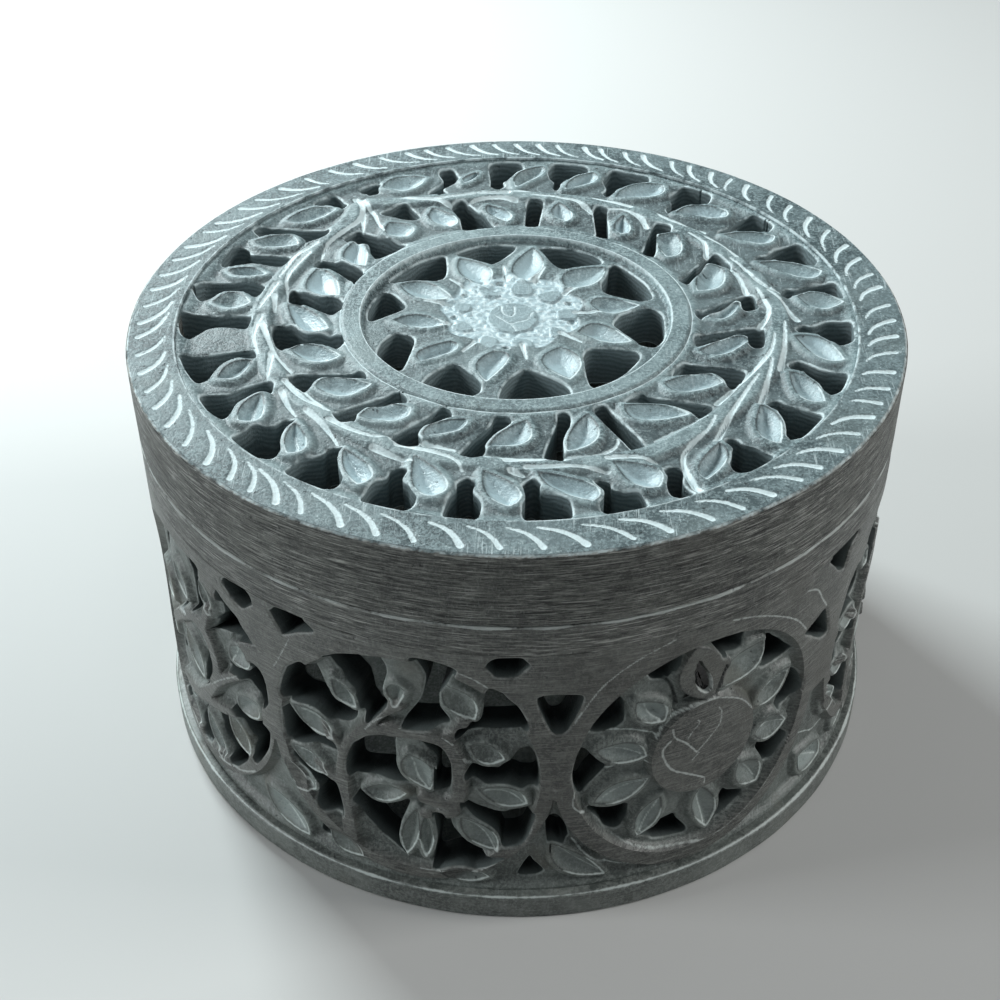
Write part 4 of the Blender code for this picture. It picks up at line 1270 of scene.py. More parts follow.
def make_turned(name, rows, arrises, seed, material, line, closed=True, flat=1.0):
    """A turned part of the body. The line is about half the width of the white along its arrises."""
    shape = turned_shape(dense(rows, closed), TURN_STEPS, closed)

    def place_points(spots):
        edge_gap = turned_marks(spots, arrises, seed)
        worn = waviness(unrolled_points(spots), 7 * MM, seed + 5)
        white = edge_gap - line / MM * (1 + 0.8 * worn)
        return spots, plain_marks(len(spots), chalk_gap=white, edge_gap=edge_gap,
                                  flat=np.full(len(spots), flat))

    return finish_piece(name, shape, place_points, material)


def make_band(material):
    """The plain band under the lid, and the lip inside it that the lid drops over."""
    coarse = 1.2 * MM
    rows = [
        (INNER_RADIUS, PANEL_TOP, coarse),
        (INNER_RADIUS, LIP_TOP, coarse),
        (LIP_RADIUS, LIP_TOP, coarse),
        (LIP_RADIUS, BODY_HEIGHT, coarse),
        (RADIUS - SEAM_ARRIS, BODY_HEIGHT, TURN_CELL),
        (RADIUS, BODY_HEIGHT - SEAM_ARRIS, 2 * TURN_CELL),
        (RADIUS, PANEL_TOP, coarse),
    ]
    arrises = ((RADIUS, BODY_HEIGHT),)
    return make_turned("body_band", rows, arrises, seed=41, material=material, line=0.23 * MM)


def make_base(material):
    """The base ring, which stands a little proud of the side, and the floor."""
    coarse = 1.5 * MM
    rows = [
        (0, FLOOR, 3 * MM),
        (INNER_RADIUS, FLOOR, coarse),
        (INNER_RADIUS, BASE_HEIGHT, coarse),
        (BASE_RADIUS - BASE_ARRIS, BASE_HEIGHT, TURN_CELL / 2),
        (BASE_RADIUS, BASE_HEIGHT - BASE_ARRIS, 2 * TURN_CELL),
        (BASE_RADIUS, BASE_HEIGHT - 1.4 * MM, coarse),
        (BASE_RADIUS, 0.3 * MM, TURN_CELL),
        (BASE_RADIUS - 0.3 * MM, 0, 4 * MM),
        (0, 0, coarse),
    ]
    arrises = ((BASE_RADIUS - BASE_ARRIS / 2, BASE_HEIGHT - BASE_ARRIS / 2),)
    return make_turned("body_base", rows, arrises, seed=51, material=material, line=0.10 * MM,
                       closed=False, flat=0.35)


def side_features():
    """Everything carved on the side, moved to each medallion, with copies past the seam at the back."""
    features = {"rings": [], "edges": [], "stems": [], "scoops": [], "cuts": [], "discs": []}
    for kind, middle in MEDALLIONS:
        for lap in (-360, 0, 360):
            shift = middle - READ_AT[kind] + lap
            if not -60 < middle + lap - MEDALLIONS[0][1] < 420:
                continue
            angle, height, half_angle, half_height, band = RINGS[kind]
            ring_middle = unrolled(angle + shift, height)
            half = np.array(unrolled(half_angle, half_height))
            features["rings"].append((ellipse(ring_middle, half), RADIUS * band / 2))
            for way in (-1, 1):
                features["edges"].append(ellipse(ring_middle, half + way * RADIUS * band / 2))
            for width, spots in STEMS[kind]:
                features["stems"].append((side_path(spots, shift), RADIUS * width / 2))
            for row in SIDE_SCOOPS[kind]:
                corners = [unrolled(row[place] + shift, row[place + 1]) for place in (0, 2, 4, 6)]
                features["scoops"].append((leaf_outline(*corners), row[8]))
            for width, spots in SIDE_CUTS[kind]:
                features["cuts"].append((side_path(spots, shift), width * MM / 2))
            if kind == "sun":
                features["discs"].append(ellipse(unrolled(DISC[0] + shift, DISC[1]), unrolled(*DISC[2:])))
    return features


def carve_side(points, holes, features, with_resin):
    carving = Carving(points, holes)
    raised = np.zeros(len(points))
    in_ring = np.zeros(len(points), bool)

    def lift(picked, share):
        raised[picked] = np.maximum(raised[picked], share)

    for ring, half_band in features["rings"]:
        picked = around(points, ring, 2 * MM)
        gap, _, _ = measure(points[picked], closed_path(ring))
        lift(picked, 1 - np.clip((gap - half_band) / RING_SHOULDER, 0, 1))
        in_ring[picked] |= within(points[picked], ring)
    for path, half_width in features["stems"]:
        picked = around(points, path, half_width + 1 * MM)
        gap, _, along = measure(points[picked], path)
        width = half_width * (1 - 0.25 * along)
        lift(picked, 1 - ramp(gap, width, width + RING_SHOULDER))
    for disc in features["discs"]:
        picked = around(points, disc, 1 * MM)
        lift(picked, 1 - np.clip(signed_gap(points[picked], disc) / DISC_SHOULDER, 0, 1))
    raised[~in_ring & (points[:, 1] > PANEL_MIDDLE - 2 * MM)] = 1
    if with_resin:
        petal = leaf_outline(*(unrolled(*spot) for spot in RESIN_PETAL))
        gap = outside_gap(points, [petal], GROUND_REACH)
        raised = np.maximum(raised, 0.85 * (1 - ramp(gap, 0, 0.45 * MM)))
        # A dark line of black resin round the petal
        carving.shadow_and_resin_line_gap = np.minimum(carving.shadow_and_resin_line_gap, np.abs(gap) / MM)
    flat = raised.copy()
    leaves = [outline for outline, _ in features["scoops"]]
    leaf = 1 - ramp(outside_gap(points, leaves, GROUND_REACH), *SIDE_SHOULDER)
    top_edge = 1 - ramp(PANEL_TOP - points[:, 1], 1.0 * MM, 2.2 * MM)
    base_edge = 0.8 - 0.8 * ramp(points[:, 1] - BASE_HEIGHT, 0.2 * MM, 1.6 * MM)
    for share in (PETAL_RISE * leaf, top_edge, base_edge):
        raised = np.maximum(raised, share)
    carving.lower(1 - raised, LEAF_DROP)
    carving.level += (1 - raised) * unevenness(points, 6 * MM, seed=21) * 0.25 * MM
    # Painted shade on the ground that lies below the rings, stems and leaves
    carving.low = 1 - raised
    carving.flat = np.maximum(flat, top_edge)
    carving.round_edges(*SIDE_WEAR)
    for outline, fresh in features["scoops"]:
        carving.scoop(outline, fresh, **SIDE_SCOOP)
    for path, half_width in features["cuts"]:
        carving.cut(path, half_width, **SIDE_CUT)
    if with_resin:
        hollow = eased(np.array([unrolled(*spot) for spot in RESIN_HOLLOW]))
        carving.scoop(hollow, 0, **RESIN_SCOOP)
        for row in RESIN_CRACKS:
            crack = side_path(row)
            carving.cut(crack, **CRACK_CUT)
            # The crack is filled with black resin, drawn as a dark line
            gap, _, _ = measure(points, crack)
            carving.shadow_and_resin_line_gap = np.minimum(carving.shadow_and_resin_line_gap, gap / MM - 0.15)
    return carving


def make_panel(number, holes, features, material):
    """One medallion with half of the stone to its neighbours, bent round the box."""
    kind, middle = MEDALLIONS[number]
    before = MEDALLIONS[number - 1][1] - (360 if number == 0 else 0)
    after = MEDALLIONS[(number + 1) % len(MEDALLIONS)][1] + (360 if number == len(MEDALLIONS) - 1 else 0)
    low = np.array((RADIUS * math.radians((middle + before) / 2), BASE_HEIGHT))
    high = np.array((RADIUS * math.radians((middle + after) / 2), PANEL_TOP))
    margin = 3 * MM

    def meets(path):
        return (path.max(axis=0) > low - margin).all() and (path.min(axis=0) < high + margin).all()

    lap = np.array((math.tau * RADIUS, 0))
    near_holes = []
    for hole in holes:
        near_holes += [moved for moved in (hole - lap, hole, hole + lap, hole + 2 * lap) if meets(moved)]
    near = {name: [item for item in items if meets(item[0] if isinstance(item, tuple) else item)]
            for name, items in features.items()}
    leaves = [outline for outline, _ in near["scoops"]]
    near_holes = [kept_clear(hole, leaves, 0.8 * LEAF_MARGIN) for hole in near_holes]
    lines = [closed_path(outline) for outline in leaves + near["edges"] + near["discs"]]
    shape = pierced_sheet(low, high, PANEL_CELL, near_holes, [], lines)

    def place_points(spots):
        wall = np.clip(-spots[:, 2], 0, 1)
        flat = spots[:, :2].copy()
        carving = carve_side(flat, near_holes, near, number == RESIN_PANEL)
        out = RADIUS - carving.depth() * (1 - wall) - wall * WALL
        return rolled_up(flat[:, 0] / RADIUS, out, flat[:, 1]), marks_of(carving, wall)

    return finish_piece(f"body_panel_{number}_{kind}", shape, place_points, material)


def make_resin(material):
    """The black resin that fills the flaw, a little domed and below the face around it."""
    outline = eased(np.array([unrolled(*spot) for spot in RESIN_HOLLOW]), 3)
    outline = outline.mean(axis=0) + (outline - outline.mean(axis=0)) * RESIN_SHARE
    shape = bmesh.new()
    bmesh.ops.create_circle(shape, cap_ends=True, segments=len(outline), radius=1)
    for corner, spot in zip(shape.verts, outline):
        corner.co = (*spot, RESIN_TOP)
    top = thicken(shape, RESIN_BOTTOM)
    for inset, rise in RESIN_DOME:
        bmesh.ops.inset_region(shape, faces=top, thickness=inset * MM, depth=rise * MM, use_even_offset=True)
    bmesh.ops.recalc_face_normals(shape, faces=shape.faces)

    def place_points(spots):
        return rolled_up(spots[:, 0] / RADIUS, RADIUS + spots[:, 2], spots[:, 1]), {}

    return finish_piece("resin_fill", shape, place_points, material)


def node(tree, kind, inputs=None, **settings):
    """Adds a node. An input is a value, or the socket that feeds it."""
    made = tree.nodes.new(kind)
    for name, value in settings.items():
        setattr(made, name, value)
    for name, value in (inputs or {}).items():
        if isinstance(value, bpy.types.NodeSocket):
            tree.links.new(value, made.inputs[name])
        else:
            made.inputs[name].default_value = value
    return made


def calculate(tree, operation, first, second=0.0, clamp=False):
    made = node(tree, "ShaderNodeMath", {0: first, 1: second}, operation=operation, use_clamp=clamp)
    return made.outputs[0]


def times(tree, first, second):
    return calculate(tree, "MULTIPLY", first, second)


def remap(tree, value, low, high, to_low=0.0, to_high=1.0):
    made = node(tree, "ShaderNodeMapRange",
                {"Value": value, "From Min": low, "From Max": high, "To Min": to_low, "To Max": to_high},
                interpolation_type="SMOOTHSTEP")
    return made.outputs["Result"]


def tint(tree, share, colour, other, mode="MIX"):
    made = node(tree, "ShaderNodeMix", {0: share, 6: colour, 7: other}, data_type="RGBA", blend_type=mode)
    return made.outputs[2]


def noise(tree, vector, scale, detail=4.0, roughness=0.55):
    made = node(tree, "ShaderNodeTexNoise",
                {"Vector": vector, "Scale": scale, "Detail": detail, "Roughness": roughness})
    return made.outputs["Fac"]


def stretched(tree, vector, scale, turn=(0, 0, 0)):
    made = node(tree, "ShaderNodeMapping", {"Vector": vector, "Rotation": turn, "Scale": scale})
    return made.outputs["Vector"]


def new_material(name):
    """A material, its node tree and the shader in it."""
    material = bpy.data.materials.new(name)
    material.use_nodes = True
    tree = material.node_tree
    return material, tree, tree.nodes["Principled BSDF"]


def new_group(name, inputs, outputs):
    """A shader node group. Each input is a name, a socket kind and a starting value."""
    group = bpy.data.node_groups.new(name, "ShaderNodeTree")
    for label, kind, value in inputs:
        socket = group.interface.new_socket(name=label, in_out="INPUT", socket_type=kind)
        if value is not None:
            socket.default_value = value
    for label, kind in outputs:
        group.interface.new_socket(name=label, in_out="OUTPUT", socket_type=kind)
    entry = group.nodes.new("NodeGroupInput")
    result = group.nodes.new("NodeGroupOutput")
    return group, entry.outputs, result


def hand_out(group, result, **values):
    """Links what a group has worked out to its outputs, and gives back the group."""
    for label, value in values.items():
        group.links.new(value, result.inputs[label])
    return group


NUMBER = "NodeSocketFloat"
VECTOR = "NodeSocketVector"
# How high each kind of roughness stands in the stone, in metres
GRAIN_HEIGHT = 0.00009
PIT_DEPTH = 0.00008
SANDING_HEIGHT = 0.00005
SAW_HEIGHT = 0.000012
SCRATCH_DEPTH = 0.00003


def stone_grain_group():
    """The stone itself: large cloudy patches, fine grain, white specks and dark pits."""
    group, given, result = new_group(
        "stone_grain", (("Vector", VECTOR, None), ("Speck Amount", NUMBER, 0.5)),
        (("Cloud", NUMBER), ("Grain", NUMBER), ("Speck", NUMBER), ("Pit", NUMBER), ("Height", NUMBER)))
    where = given["Vector"]
    cloud = noise(group, where, 90.0, 5.0, 0.65)
    coarse = noise(group, where, 650.0, 4.0, 0.65)
    finer = noise(group, where, 2400.0, 3.0, 0.7)
    grain = calculate(group, "ADD", times(group, coarse, 0.35), times(group, finer, 0.65))
    fine = noise(group, where, 3000.0, 3.0, 0.6)
    low = remap(group, given["Speck Amount"], 0.0, 1.0, 0.70, 0.52)
    speck = times(group, remap(group, fine, low, 0.76), remap(group, coarse, 0.40, 0.58))
    pit = remap(group, noise(group, where, 1300.0, 2.0, 0.5), 0.30, 0.22)
    rough = calculate(group, "SUBTRACT", times(group, grain, GRAIN_HEIGHT), times(group, pit, PIT_DEPTH))
    return hand_out(group, result, Cloud=cloud, Grain=grain, Speck=speck, Pit=pit, Height=rough)


def chalk_wear_group():
    """Where bare white stone shows: along cuts, as a painted highlight on the lit edges of scoops, and broken
    up along worn edges.
    """
    group, given, result = new_group(
        "chalk_wear", (("Vector", VECTOR, None), ("Line Gap", NUMBER, FAR), ("Edge Gap", NUMBER, FAR),
                       ("Edge Width", NUMBER, 0.3), ("Edge Amount", NUMBER, 0.6)),
        (("Mask", NUMBER),))
    ragged = noise(group, given["Vector"], 1500.0, 3.0, 0.6)
    broken = noise(group, given["Vector"], 420.0, 3.0, 0.6)
    shaky = times(group, calculate(group, "SUBTRACT", ragged, 0.5), 0.30)
    line = remap(group, calculate(group, "ADD", given["Line Gap"], shaky), 0.10, -0.08)
    near = calculate(group, "DIVIDE", calculate(group, "ADD", given["Edge Gap"], shaky), given["Edge Width"])
    edge = times(group, remap(group, near, 1.2, 0.3), remap(group, broken, 0.36, 0.60))
    edge = times(group, edge, given["Edge Amount"])
    return hand_out(group, result, Mask=calculate(group, "MAXIMUM", line, edge))


def sanding_group():
    """Fine scratches that run round the side, a little off level."""
    group, given, result = new_group(
        "sanding", (("Vector", VECTOR, None),), (("Light", NUMBER), ("Dark", NUMBER), ("Height", NUMBER)))
    along = stretched(group, given["Vector"], (230, 230, 5200), (0.03, 0.02, 0))
    level = noise(group, along, 1.0, 3.0, 0.65)
    along = stretched(group, given["Vector"], (380, 380, 5600), (-0.12, 0.08, 0))
    slanted = noise(group, along, 1.0, 3.0, 0.65)
    patchy = noise(group, given["Vector"], 110.0, 3.0, 0.6)
    light = calculate(group, "MAXIMUM", remap(group, level, 0.54, 0.66), remap(group, slanted, 0.56, 0.68))
    light = times(group, light, remap(group, patchy, 0.30, 0.60, 0.35, 1.0))
    dark = remap(group, calculate(group, "MINIMUM", level, slanted), 0.46, 0.33)
    height = times(group, calculate(group, "SUBTRACT", light, dark), SANDING_HEIGHT)
    return hand_out(group, result, Light=light, Dark=dark, Height=height)


def saw_group():
    """The wavy lines that the piercing saw leaves down the wall of a hole."""
    group, given, result = new_group(
        "saw_lines", (("Vector", VECTOR, None), ("Spacing", NUMBER, 0.12), ("Wall", NUMBER, 0.0)),
        (("Line", NUMBER), ("Height", NUMBER)))
    drift = noise(group, given["Vector"], 260.0, 4.0, 0.6)
    place = calculate(group, "ADD", calculate(group, "DIVIDE", given["Wall"], given["Spacing"]),
                      times(group, drift, 3.2))
    wave = calculate(group, "SINE", times(group, place, math.tau))
    line = remap(group, wave, -1.0, 1.0)
    return hand_out(group, result, Line=line, Height=times(group, line, SAW_HEIGHT))


def scratches_group():
    """Fine scratches that run every way, as a rasp and a wire brush leave them."""
    group, given, result = new_group("scratches", (("Vector", VECTOR, None), ("Amount", NUMBER, 0.5)),
                                     (("Mask", NUMBER), ("Height", NUMBER)))
    total = None
    for turn, scale in (((0, 0, 0.5), (2600, 170, 900)), ((0, 0, 1.7), (2900, 220, 1100)),
                        ((0, 0, 2.6), (2300, 150, 1000))):
        line = noise(group, stretched(group, given["Vector"], scale, turn), 1.0, 3.0, 0.6)
        line = remap(group, line, 0.60, 0.70)
        total = line if total is None else calculate(group, "MAXIMUM", total, line)
    patchy = remap(group, noise(group, given["Vector"], 130.0, 3.0, 0.6), 0.45, 0.60)
    amount = times(group, times(group, total, patchy), given["Amount"])
    return hand_out(group, result, Mask=amount, Height=times(group, amount, -SCRATCH_DEPTH))


def attribute(tree, name):
    made = node(tree, "ShaderNodeAttribute", attribute_type="GEOMETRY", attribute_name=name)
    return made.outputs["Fac"]


def stone_material(name, groups, look, flat_look=None):
    """Soapstone as one tool left it. The look gives its colours and how strong each mark on it is. A flat
    look covers what is marked as flat, where the outside was sanded."""
    material, tree, shader = new_material(name)
    where = node(tree, "ShaderNodeTexCoord").outputs["Object"]

    def placed(group, **inputs):
        made = node(tree, "ShaderNodeGroup", node_tree=groups[group])
        for label, value in inputs.items():
            socket = made.inputs[label.replace("_", " ")]
            if isinstance(value, bpy.types.NodeSocket):
                tree.links.new(value, socket)
            else:
                socket.default_value = value
        return made.outputs

    flat = attribute(tree, "flat")

    def amount(label):
        """How strong a mark is, which can differ where the stone is flat."""
        if not flat_look or look[label] == flat_look[label]:
            return look[label]
        return remap(tree, flat, 0.0, 1.0, look[label], flat_look[label])

    grain = placed("grain", Vector=where, Speck_Amount=amount("specks"))
    chalk = placed("chalk", Vector=where, Line_Gap=attribute(tree, "chalk_gap"),
                   Edge_Gap=attribute(tree, "edge_gap"), Edge_Width=amount("edge_width"),
                   Edge_Amount=amount("edge_chalk"))
    scratches = placed("scratches", Vector=where, Amount=amount("scratches"))
    sanding = placed("sanding", Vector=where)
    wall = attribute(tree, "wall")
    saw = placed("saw", Vector=where, Spacing=look["saw_spacing"], Wall=wall)
    inside = remap(tree, wall, 0.970, 0.998)
    on_wall = calculate(tree, "SUBTRACT", remap(tree, wall, 0.0, 0.06), inside, clamp=True)
    fresh = attribute(tree, "fresh")
    # Dark lines: painted shadow along the scoops' edges turned from the light, and the black resin round the
    # petal and in its cracks
    ragged = times(tree, noise(tree, where, 900.0, 2.0), 0.16)
    shadow_and_resin_line = remap(tree, calculate(tree, "ADD", attribute(tree, "shadow_and_resin_line_gap"), ragged), 0.30, 0.10)
    stain = remap(tree, noise(tree, where, 95.0, 2.0, 0.5), 0.58, 0.70)
    mottled = remap(tree, grain["Grain"], 0.45, 0.58)

    def face_colour(given):
        """The stone's colour under one look: each layer is a mask, its strength and its colour."""
        made = tint(tree, remap(tree, grain["Cloud"], 0.38, 0.62), (*given["dark"], 1), (*given["light"], 1))
        layers = (
            (mottled, "grain", "grain_colour"),
            (sanding["Dark"], "streaks", "shade"),
            (sanding["Light"], "streaks", "streak_colour"),
            (fresh, "fresh", "fresh_colour"),
            (stain, "stain", "stain_colour"),
        )
        for mask, strength, layer_colour in layers:
            made = tint(tree, times(tree, mask, given[strength]), made, (*given[layer_colour], 1))
        return made

    colour = face_colour(look)
    chalk_colour = (*look["chalk_colour"], 1)
    if flat_look:
        colour = tint(tree, flat, colour, face_colour(flat_look))
        chalk_colour = tint(tree, flat, chalk_colour, (*flat_look["chalk_colour"], 1))
    # Painted shade on the low ground and along the scoops' shaded edges, with the black resin lines, darkened
    # towards the shade colour
    painted_shade = times(tree, attribute(tree, "low"), look["low"])
    painted_shade = calculate(tree, "MAXIMUM", painted_shade, times(tree, shadow_and_resin_line, look["shadow_and_resin_line"]))
    colour = tint(tree, painted_shade, colour, (*look["shade"], 1))
    colour = tint(tree, times(tree, grain["Pit"], 0.6), colour, (*look["shade"], 1))
    wall_colour = tint(tree, saw["Line"], (*look["wall_dark"], 1), (*look["wall_light"], 1))
    # Painted shade down the walls of the holes, darker the deeper
    deep = remap(tree, wall, 0.03, look["wall_shade_reach"], 0.0, look["wall_painted_shade"])
    wall_colour = tint(tree, deep, wall_colour, (*look["shade"], 1))
    colour = tint(tree, on_wall, colour, wall_colour)
    speck = times(tree, grain["Speck"], amount("specks"))
    # White: bare stone along cuts and worn edges, specks and scratches, and a painted highlight on the lit
    # edges of the scoops
    white = calculate(tree, "MAXIMUM", chalk["Mask"], calculate(tree, "MAXIMUM", speck, scratches["Mask"]))
    white = times(tree, white, calculate(tree, "SUBTRACT", 1.0, on_wall))
    colour = tint(tree, times(tree, white, amount("chalk")), colour, chalk_colour)
    tree.links.new(colour, shader.inputs["Base Color"])

    rough = remap(tree, grain["Grain"], 0.3, 0.7, look["roughness"] - 0.06, look["roughness"] + 0.08)
    rough = calculate(tree, "ADD", rough, times(tree, white, 0.15))
    rough = calculate(tree, "SUBTRACT", rough, times(tree, fresh, look["polish"]), clamp=True)
    tree.links.new(rough, shader.inputs["Roughness"])

    saw_height = times(tree, times(tree, saw["Height"], on_wall), look["saw"])
    sand_height = times(tree, sanding["Height"], amount("sanded"))
    height = calculate(tree, "ADD", times(tree, grain["Height"], look["rough_grain"]), saw_height)
    height = calculate(tree, "ADD", calculate(tree, "ADD", height, sand_height), scratches["Height"])
    bump = node(tree, "ShaderNodeBump", {"Height": height, "Strength": 1.0, "Distance": 1.0})
    tree.links.new(bump.outputs["Normal"], shader.inputs["Normal"])
    shader.inputs["Specular IOR Level"].default_value = look["specular"]
    return material


# Each look sets how strong the painted shade is on low ground, along the scoops' shaded edges and down the
# walls of the holes, and the colour that it darkens towards
LID_LOOK = {
    "dark": (0.088, 0.130, 0.140), "light": (0.215, 0.288, 0.302),
    "grain": 0.80, "grain_colour": (0.335, 0.436, 0.452),
    "streaks": 0.0, "streak_colour": (0.3, 0.3, 0.3),
    "fresh": 0.85, "fresh_colour": (0.500, 0.650, 0.700),
    "stain": 0.12, "stain_colour": (0.140, 0.150, 0.120),
    "shadow_and_resin_line": 0.65, "low": 0.50, "shade": (0.016, 0.023, 0.026),
    "wall_dark": (0.132, 0.173, 0.182), "wall_light": (0.198, 0.252, 0.264),
    "wall_painted_shade": 0.32, "wall_shade_reach": 1.0,
    "specks": 0.70, "scratches": 0.25, "edge_width": 0.28, "edge_chalk": 0.85,
    "chalk": 0.95, "chalk_colour": (0.740, 0.860, 0.880),
    "saw_spacing": 0.12, "saw": 0.6, "sanded": 0.0, "rough_grain": 2.2,
    "roughness": 0.50, "polish": 0.15, "specular": 0.60,
}
RIM_LOOK = {
    **LID_LOOK,
    "dark": (0.056, 0.084, 0.091), "light": (0.138, 0.187, 0.198), "grain_colour": (0.240, 0.314, 0.328),
    "scratches": 0.45,
    "roughness": 0.54, "specular": 0.45,
}
BAND_LOOK = {
    **LID_LOOK,
    "dark": (0.050, 0.053, 0.050), "light": (0.098, 0.103, 0.095),
    "grain": 0.50, "grain_colour": (0.175, 0.182, 0.168),
    "streaks": 1.0, "streak_colour": (0.385, 0.395, 0.372), "fresh": 0.0, "shade": (0.008, 0.009, 0.009),
    "stain": 0.25, "stain_colour": (0.045, 0.040, 0.034),
    "specks": 0.20, "scratches": 0.15, "edge_width": 0.18, "edge_chalk": 1.0,
    "chalk": 0.85, "chalk_colour": (0.520, 0.560, 0.545),
    "sanded": 1.0, "rough_grain": 0.8, "roughness": 0.48,
}
RING_LOOK = {
    **BAND_LOOK,
    "grain": 0.60, "streaks": 0.40, "sanded": 0.5, "edge_width": 0.22, "edge_chalk": 0.35,
}
SIDE_LOOK = {
    **LID_LOOK,
    "dark": (0.072, 0.086, 0.080), "light": (0.165, 0.190, 0.178),
    "grain": 0.65, "grain_colour": (0.270, 0.300, 0.284),
    "streaks": 0.15, "streak_colour": (0.220, 0.235, 0.222),
    "fresh": 0.90, "fresh_colour": (0.375, 0.440, 0.432),
    "stain": 0.45, "stain_colour": (0.090, 0.076, 0.050),
    "shadow_and_resin_line": 0.60, "low": 0.20, "shade": (0.010, 0.014, 0.015),
    "wall_dark": (0.110, 0.132, 0.130), "wall_light": (0.114, 0.136, 0.134),
    "wall_painted_shade": 0.89, "wall_shade_reach": 0.60,
    "specks": 0.30, "scratches": 0.20, "edge_width": 0.22, "edge_chalk": 0.35,
    "chalk": 0.90, "chalk_colour": (0.620, 0.690, 0.670),
    "saw": 0.1, "sanded": 0.3, "rough_grain": 1.2, "roughness": 0.42,
}


# The resin: its colour, that of the dust on it, and how high its ripples stand in metres
RESIN_COLOUR = (0.006, 0.005, 0.005, 1)
RESIN_DUST = (0.10, 0.09, 0.08, 1)
RESIN_RIPPLE = 0.0003


def resin_material():
    """Shiny black resin with a little dust on it."""
    material, tree, shader = new_material("black_resin")
    where = node(tree, "ShaderNodeTexCoord").outputs["Object"]
    dust = remap(tree, noise(tree, where, 1400.0, 3.0), 0.60, 0.72)
    colour = tint(tree, times(tree, dust, 0.3), RESIN_COLOUR, RESIN_DUST)
    tree.links.new(colour, shader.inputs["Base Color"])
    rough = remap(tree, noise(tree, where, 500.0, 2.0), 0.4, 0.7, 0.08, 0.25)
    tree.links.new(rough, shader.inputs["Roughness"])
    height = times(tree, noise(tree, where, 600.0, 2.0), RESIN_RIPPLE)
    bump = node(tree, "ShaderNodeBump", {"Height": height, "Distance": 1.0})
    tree.links.new(bump.outputs["Normal"], shader.inputs["Normal"])
    return material


FLOOR_SIZE = 3.0
FLOOR_COLOUR = (0.62, 0.62, 0.61, 1)
FLOOR_ROUGHNESS = 0.8
# The lamps: name, place, size, power and colour
LAMPS = (
    ("window", (-0.24, 0.32, 0.28), 0.16, 2.9, (0.88, 0.985, 1.0)),
    ("overhead", (0.06, -0.30, 0.90), 0.36, 0.7, (0.97, 1.0, 1.0)),
    ("left_side", (-0.95, -0.12, 0.38), 0.30, 4.0, (0.95, 0.99, 1.0)),
    ("right_side", (0.85, 0.00, 0.45), 0.32, 4.1, (1.0, 1.0, 0.98)),
)
# The light from all round: its colour, the paler one that the camera sees, and its strength
SKY_COLOUR = (0.60, 0.64, 0.66, 1)
SKY_SEEN = (0.9, 0.9, 0.9, 1)
SKY_STRENGTH = 0.20


def make_camera():
    """The camera of the picture: it looks down from the front, and is turned a little."""
    ahead = Vector((0, math.cos(CAMERA_DOWN), -math.sin(CAMERA_DOWN)))
    right = Vector((1, 0, 0))
    up = right.cross(ahead)
    place = -ahead * CAMERA_DISTANCE
    side = right * math.cos(CAMERA_YAW) - ahead * math.sin(CAMERA_YAW)
    ahead = right * math.sin(CAMERA_YAW) + ahead * math.cos(CAMERA_YAW)
    lifted = up * math.cos(CAMERA_PITCH) - ahead * math.sin(CAMERA_PITCH)
    ahead = up * math.sin(CAMERA_PITCH) + ahead * math.cos(CAMERA_PITCH)
    across = side * math.cos(CAMERA_ROLL) - lifted * math.sin(CAMERA_ROLL)
    upward = side * math.sin(CAMERA_ROLL) + lifted * math.cos(CAMERA_ROLL)
    data = bpy.data.cameras.new("camera")
    data.sensor_fit = "HORIZONTAL"
    data.sensor_width = SENSOR
    data.lens = LENS
    data.clip_start = 0.01
    data.clip_end = 20.0
    camera = add_object("camera", data)
    turn = Matrix((across, upward, -ahead)).transposed()
    camera.matrix_world = Matrix.Translation(place) @ turn.to_4x4()
    bpy.context.scene.camera = camera


def make_floor():
    mesh = bpy.data.meshes.new("floor")
    shape = bmesh.new()
    bmesh.ops.create_grid(shape, x_segments=1, y_segments=1, size=FLOOR_SIZE)
    shape.to_mesh(mesh)
    shape.free()
    material, _, shader = new_material("pale_floor")
    shader.inputs["Base Color"].default_value = FLOOR_COLOUR
    shader.inputs["Roughness"].default_value = FLOOR_ROUGHNESS
    mesh.materials.append(material)
    floor = add_object("floor", mesh)


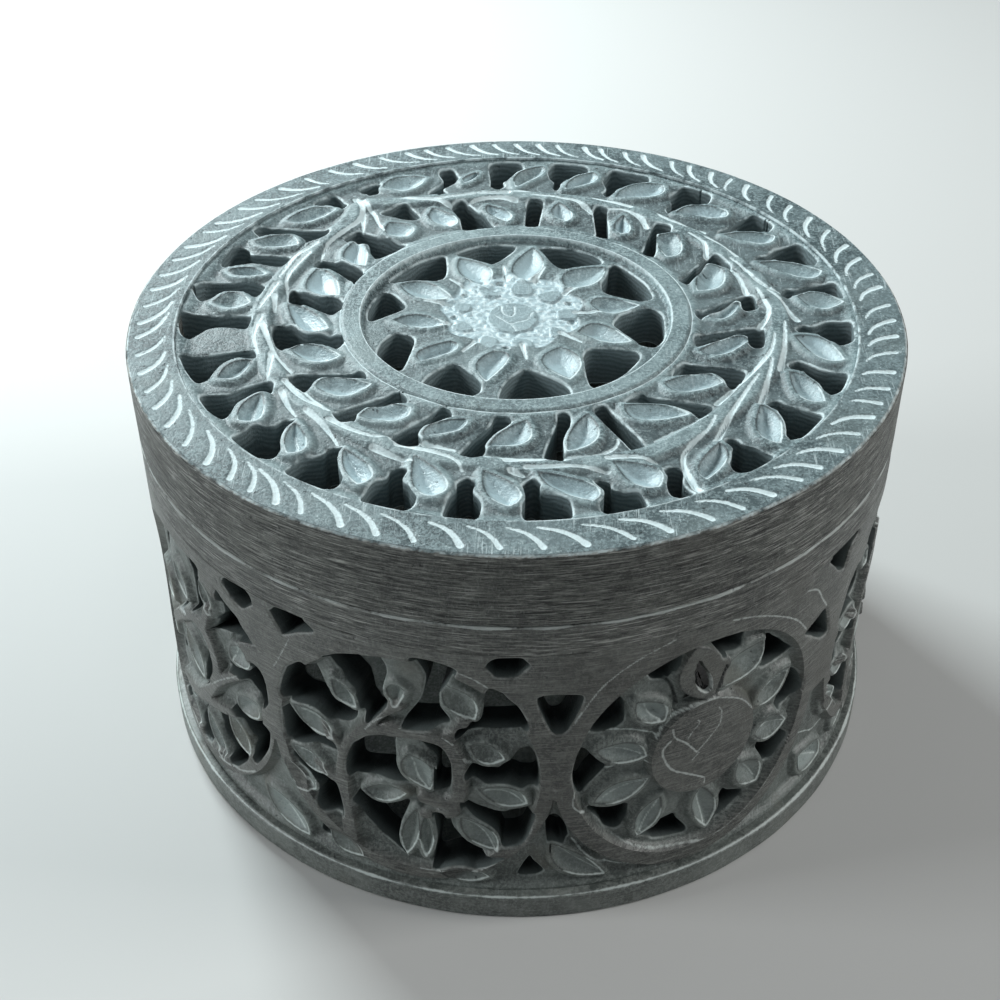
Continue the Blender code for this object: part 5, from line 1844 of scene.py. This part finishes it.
def add_lamp(name, place, size, power, colour):
    """A soft square lamp that looks at the box."""
    data = bpy.data.lights.new(name, "AREA")
    data.shape = "SQUARE"
    data.size = size
    data.energy = power
    data.color = colour
    lamp = add_object(name, data)
    lamp.visible_camera = False
    place = Vector(place)
    aim = Vector((0, 0, TOP / 2)) - place
    lamp.matrix_world = Matrix.Translation(place) @ aim.to_track_quat("-Z", "Y").to_matrix().to_4x4()


def make_light():
    for lamp in LAMPS:
        add_lamp(*lamp)
    world = bpy.data.worlds.new("studio")
    bpy.context.scene.world = world
    world.use_nodes = True
    tree = world.node_tree
    background = tree.nodes["Background"]
    path = node(tree, "ShaderNodeLightPath")
    shade = tint(tree, path.outputs["Is Camera Ray"], SKY_COLOUR, SKY_SEEN)
    tree.links.new(shade, background.inputs["Color"])
    background.inputs["Strength"].default_value = SKY_STRENGTH


def main():
    make_camera()
    groups = {"grain": stone_grain_group(), "chalk": chalk_wear_group(), "sanding": sanding_group(),
              "saw": saw_group(), "scratches": scratches_group()}
    lid_stone = stone_material("lid_stone_carved", groups, LID_LOOK)
    rim_stone = stone_material("lid_rim_stone", groups, RIM_LOOK, BAND_LOOK)
    band_stone = stone_material("stone_sanded", groups, BAND_LOOK)
    side_stone = stone_material("side_stone_carved", groups, SIDE_LOOK, RING_LOOK)
    holes = lid_holes()
    in_rosette = [hole for hole in holes if np.hypot(*hole.mean(axis=0)) < ROSETTE_RADIUS]
    in_field = [hole for hole in holes if np.hypot(*hole.mean(axis=0)) >= ROSETTE_RADIUS]
    for piece in (make_rim(rim_stone), make_wreath(in_field, lid_stone),
                  make_rosette(in_rosette, lid_stone)):
        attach(piece, "lid")
        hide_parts("lid")
    pieces = [make_band(band_stone), make_base(side_stone)]
    features = side_features()
    around_side = side_holes()
    for number in range(len(MEDALLIONS)):
        pieces.append(make_panel(number, around_side, features, side_stone))
    pieces.append(make_resin(resin_material()))
    for piece in pieces:
        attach(piece, "box_body")
        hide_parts("box_body")
    make_floor()
    make_light()


main()
bpy.context.scene.view_settings.view_transform = "Standard"
